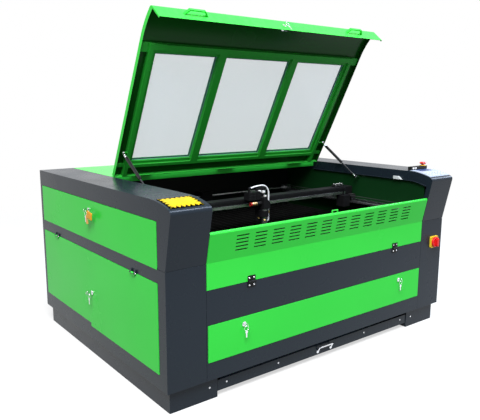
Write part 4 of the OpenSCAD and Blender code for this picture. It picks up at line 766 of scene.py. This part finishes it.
def make_head():
    plugs = Mould()
    for x, z, width, height in PLUGS:
        plugs.slab(on_front(x, z, HEAD_FACE_Y), width, height, PLUG_T, PLUG_R, PLUG_EASE)
        plugs.slab(on_front(x, z, TIP_Y), width * TIP_SHARE_W, height * TIP_SHARE_H, TIP_T, TIP_R, TIP_EASE)
    plugs.make("head_plugs", "carriage", NYLON, "hose_white")
    collar = Mould()
    collar.lathe(along_x(COLLAR_X, HEAD_Y, BEAM_Z), COLLAR)
    collar.make("beam_collar", "carriage", DARK_RED, "red_plastic")
    brass = Mould()
    brass.lathe(along_x(SLEEVE_X, HEAD_Y, BEAM_Z), SLEEVE)
    brass.lathe(on_top(HOSE_X, HEAD_Y, HOSE_Z), HOSE_NUT, FITTING_STEPS)
    brass.make("head_brass", "carriage", BRASS, "chrome")
    knobs = Mould()
    for at in (on_front(*PLATE_KNOB, HEAD_FACE_Y), axes(*TUBE_KNOB, Z.cross(TUBE_KNOB_WAY), Z)):
        knobs.lathe(at, KNOB, FITTING_STEPS)
    knobs.make("head_knobs", "carriage", IVORY, "yellow_plastic")


# Limit switch and cable clamps on top of the beam's right end
SWITCH_AT = (1540.0, 535.0, 760.0)
SWITCH_W, SWITCH_D, SWITCH_T = 78.0, 34.0, 9.0
SWITCH_R, SWITCH_EASE = 3.0, 1.0
CLAMP_DX = (-28.0, 0.0, 28.0)
CLAMP_Z, CLAMP_W, CLAMP_D, CLAMP_T = 768.0, 18.0, 24.0, 9.0
CLAMP_R, CLAMP_EASE = 2.0, 0.8
STUD_DY, STUD_Z = 6.0, 777.0
STUD = (4.6, 3.0)
LUG_FACE_Y, LUG_MID_Z = 523.0, 771.5
LUG_W, LUG_H, LUG_T = 9.0, 6.0, 4.0
LUG_R, LUG_EASE = 1.2, 0.6


def make_beam_end():
    switch, studs = Mould(), Mould()
    switch.slab(on_top(*SWITCH_AT), SWITCH_W, SWITCH_D, SWITCH_T, SWITCH_R, SWITCH_EASE)
    middle, y, _ = SWITCH_AT
    for dx in CLAMP_DX:
        x = middle + dx
        switch.slab(on_top(x, y, CLAMP_Z), CLAMP_W, CLAMP_D, CLAMP_T, CLAMP_R, CLAMP_EASE)
        for dy in (-STUD_DY, STUD_DY):
            studs.screw(on_top(x, y + dy, STUD_Z), *STUD)
        studs.slab(on_front(x, LUG_MID_Z, LUG_FACE_Y), LUG_W, LUG_H, LUG_T, LUG_R, LUG_EASE)
    switch.make("beam_end_switch", "gantry", FINISH["black_plastic"], "black_plastic")
    studs.make("beam_end_studs", "gantry", ZINC, "chrome")


# Studio
FLOOR_HALF = 14.0
FLOOR_TONES = ((0.86, 0.86, 0.865), (0.9, 0.9, 0.9))
FLOOR_FADE = (1.8, 4.5)
FLOOR_LIFT = 0.62
FLOOR_BOUNCE = (0.2, 0.2, 0.2, 1)
WORLD_TINT = (0.94, 0.97, 1.0, 1)
WORLD_LEVEL = 0.3
WHITE = (1, 1, 1, 1)
LAMP_AIM = Vector((0, 0, 0.6))
BLUISH = (0.66, 0.78, 1)

# Each lamp's place and size in metres, its power in watts and its tint
LAMPS = {
    "key": ((-3.6, -4.2, 7.7), 4.8, 1280, (1, 1, 1)),
    "left_glint": ((2.3, -1.6, 5.9), 1.8, 260, BLUISH),
    "right_glint": ((5.7, -1.3, 4.2), 1.8, 150, BLUISH),
}


def bright_rays(tree):
    """One where the eye, a reflection or a see-through sheet looks straight at a surface."""
    path = tree.nodes.new("ShaderNodeLightPath")
    share = path.outputs["Is Camera Ray"]
    for name in ("Is Glossy Ray", "Is Transmission Ray"):
        either = tree.nodes.new("ShaderNodeMath")
        either.operation = "MAXIMUM"
        tree.links.new(share, either.inputs[0])
        tree.links.new(path.outputs[name], either.inputs[1])
        share = either.outputs[0]
    return share


def make_floor():
    """Pale near the object, where it takes the shadow, and white further off; a dimmer bounce lights the object."""
    mesh = bpy.data.meshes.new("floor")
    corners = [(-FLOOR_HALF, -FLOOR_HALF, 0), (FLOOR_HALF, -FLOOR_HALF, 0),
               (FLOOR_HALF, FLOOR_HALF, 0), (-FLOOR_HALF, FLOOR_HALF, 0)]
    mesh.from_pydata(corners, [], [(0, 1, 2, 3)])
    floor = bpy.data.objects.new("floor", mesh)
    bpy.context.scene.collection.objects.link(floor)
    s = Shader("floor", rough=0.8, gloss=0.1)
    s.colour(s.ramp(s.noise(3, detail=3), *FLOOR_TONES))
    fade = s.span(s.reach(s.place), FLOOR_LIFT, 1.0, *FLOOR_FADE)
    glow = s.add("ShaderNodeEmission")
    pale = s.add("ShaderNodeMixShader")
    s.link(fade, pale.inputs[0])
    s.link(s.out.outputs[0], pale.inputs[1])
    s.link(glow.outputs[0], pale.inputs[2])
    bounce = s.add("ShaderNodeBsdfDiffuse")
    bounce.inputs["Color"].default_value = FLOOR_BOUNCE
    seen = s.add("ShaderNodeMixShader")
    s.link(bright_rays(s.tree), seen.inputs[0])
    s.link(bounce.outputs[0], seen.inputs[1])
    s.link(pale.outputs[0], seen.inputs[2])
    s.link(seen.outputs[0], s.tree.nodes["Material Output"].inputs["Surface"])
    mesh.materials.append(s.mat)


def make_world():
    world = bpy.data.worlds.new("studio")
    bpy.context.scene.world = world
    world.use_nodes = True
    tree = world.node_tree
    light = tree.nodes["Background"]
    light.inputs["Color"].default_value = WORLD_TINT
    light.inputs["Strength"].default_value = WORLD_LEVEL
    seen = tree.nodes.new("ShaderNodeBackground")
    seen.inputs["Color"].default_value = WHITE
    blend = tree.nodes.new("ShaderNodeMixShader")
    tree.links.new(bright_rays(tree), blend.inputs[0])
    tree.links.new(light.outputs[0], blend.inputs[1])
    tree.links.new(seen.outputs[0], blend.inputs[2])
    tree.links.new(blend.outputs[0], tree.nodes["World Output"].inputs["Surface"])


def make_lamps():
    for name, (place, size, power, tint) in LAMPS.items():
        data = bpy.data.lights.new(name, "AREA")
        data.size = size
        data.energy = power
        data.color = tint
        lamp = bpy.data.objects.new(name, data)
        lamp.location = place
        lamp.rotation_euler = (LAMP_AIM - Vector(place)).to_track_quat("-Z", "Y").to_euler()
        bpy.context.scene.collection.objects.link(lamp)


make_camera()
finish_solids()
make_console_plate()
make_hinges()
make_tag()
make_key_bow()
make_screws()
make_controls()
make_isolator()
make_strut_ends()
make_head()
make_beam_end()
make_floor()
make_world()
make_lamps()
bpy.context.scene.view_settings.view_transform = "Standard"
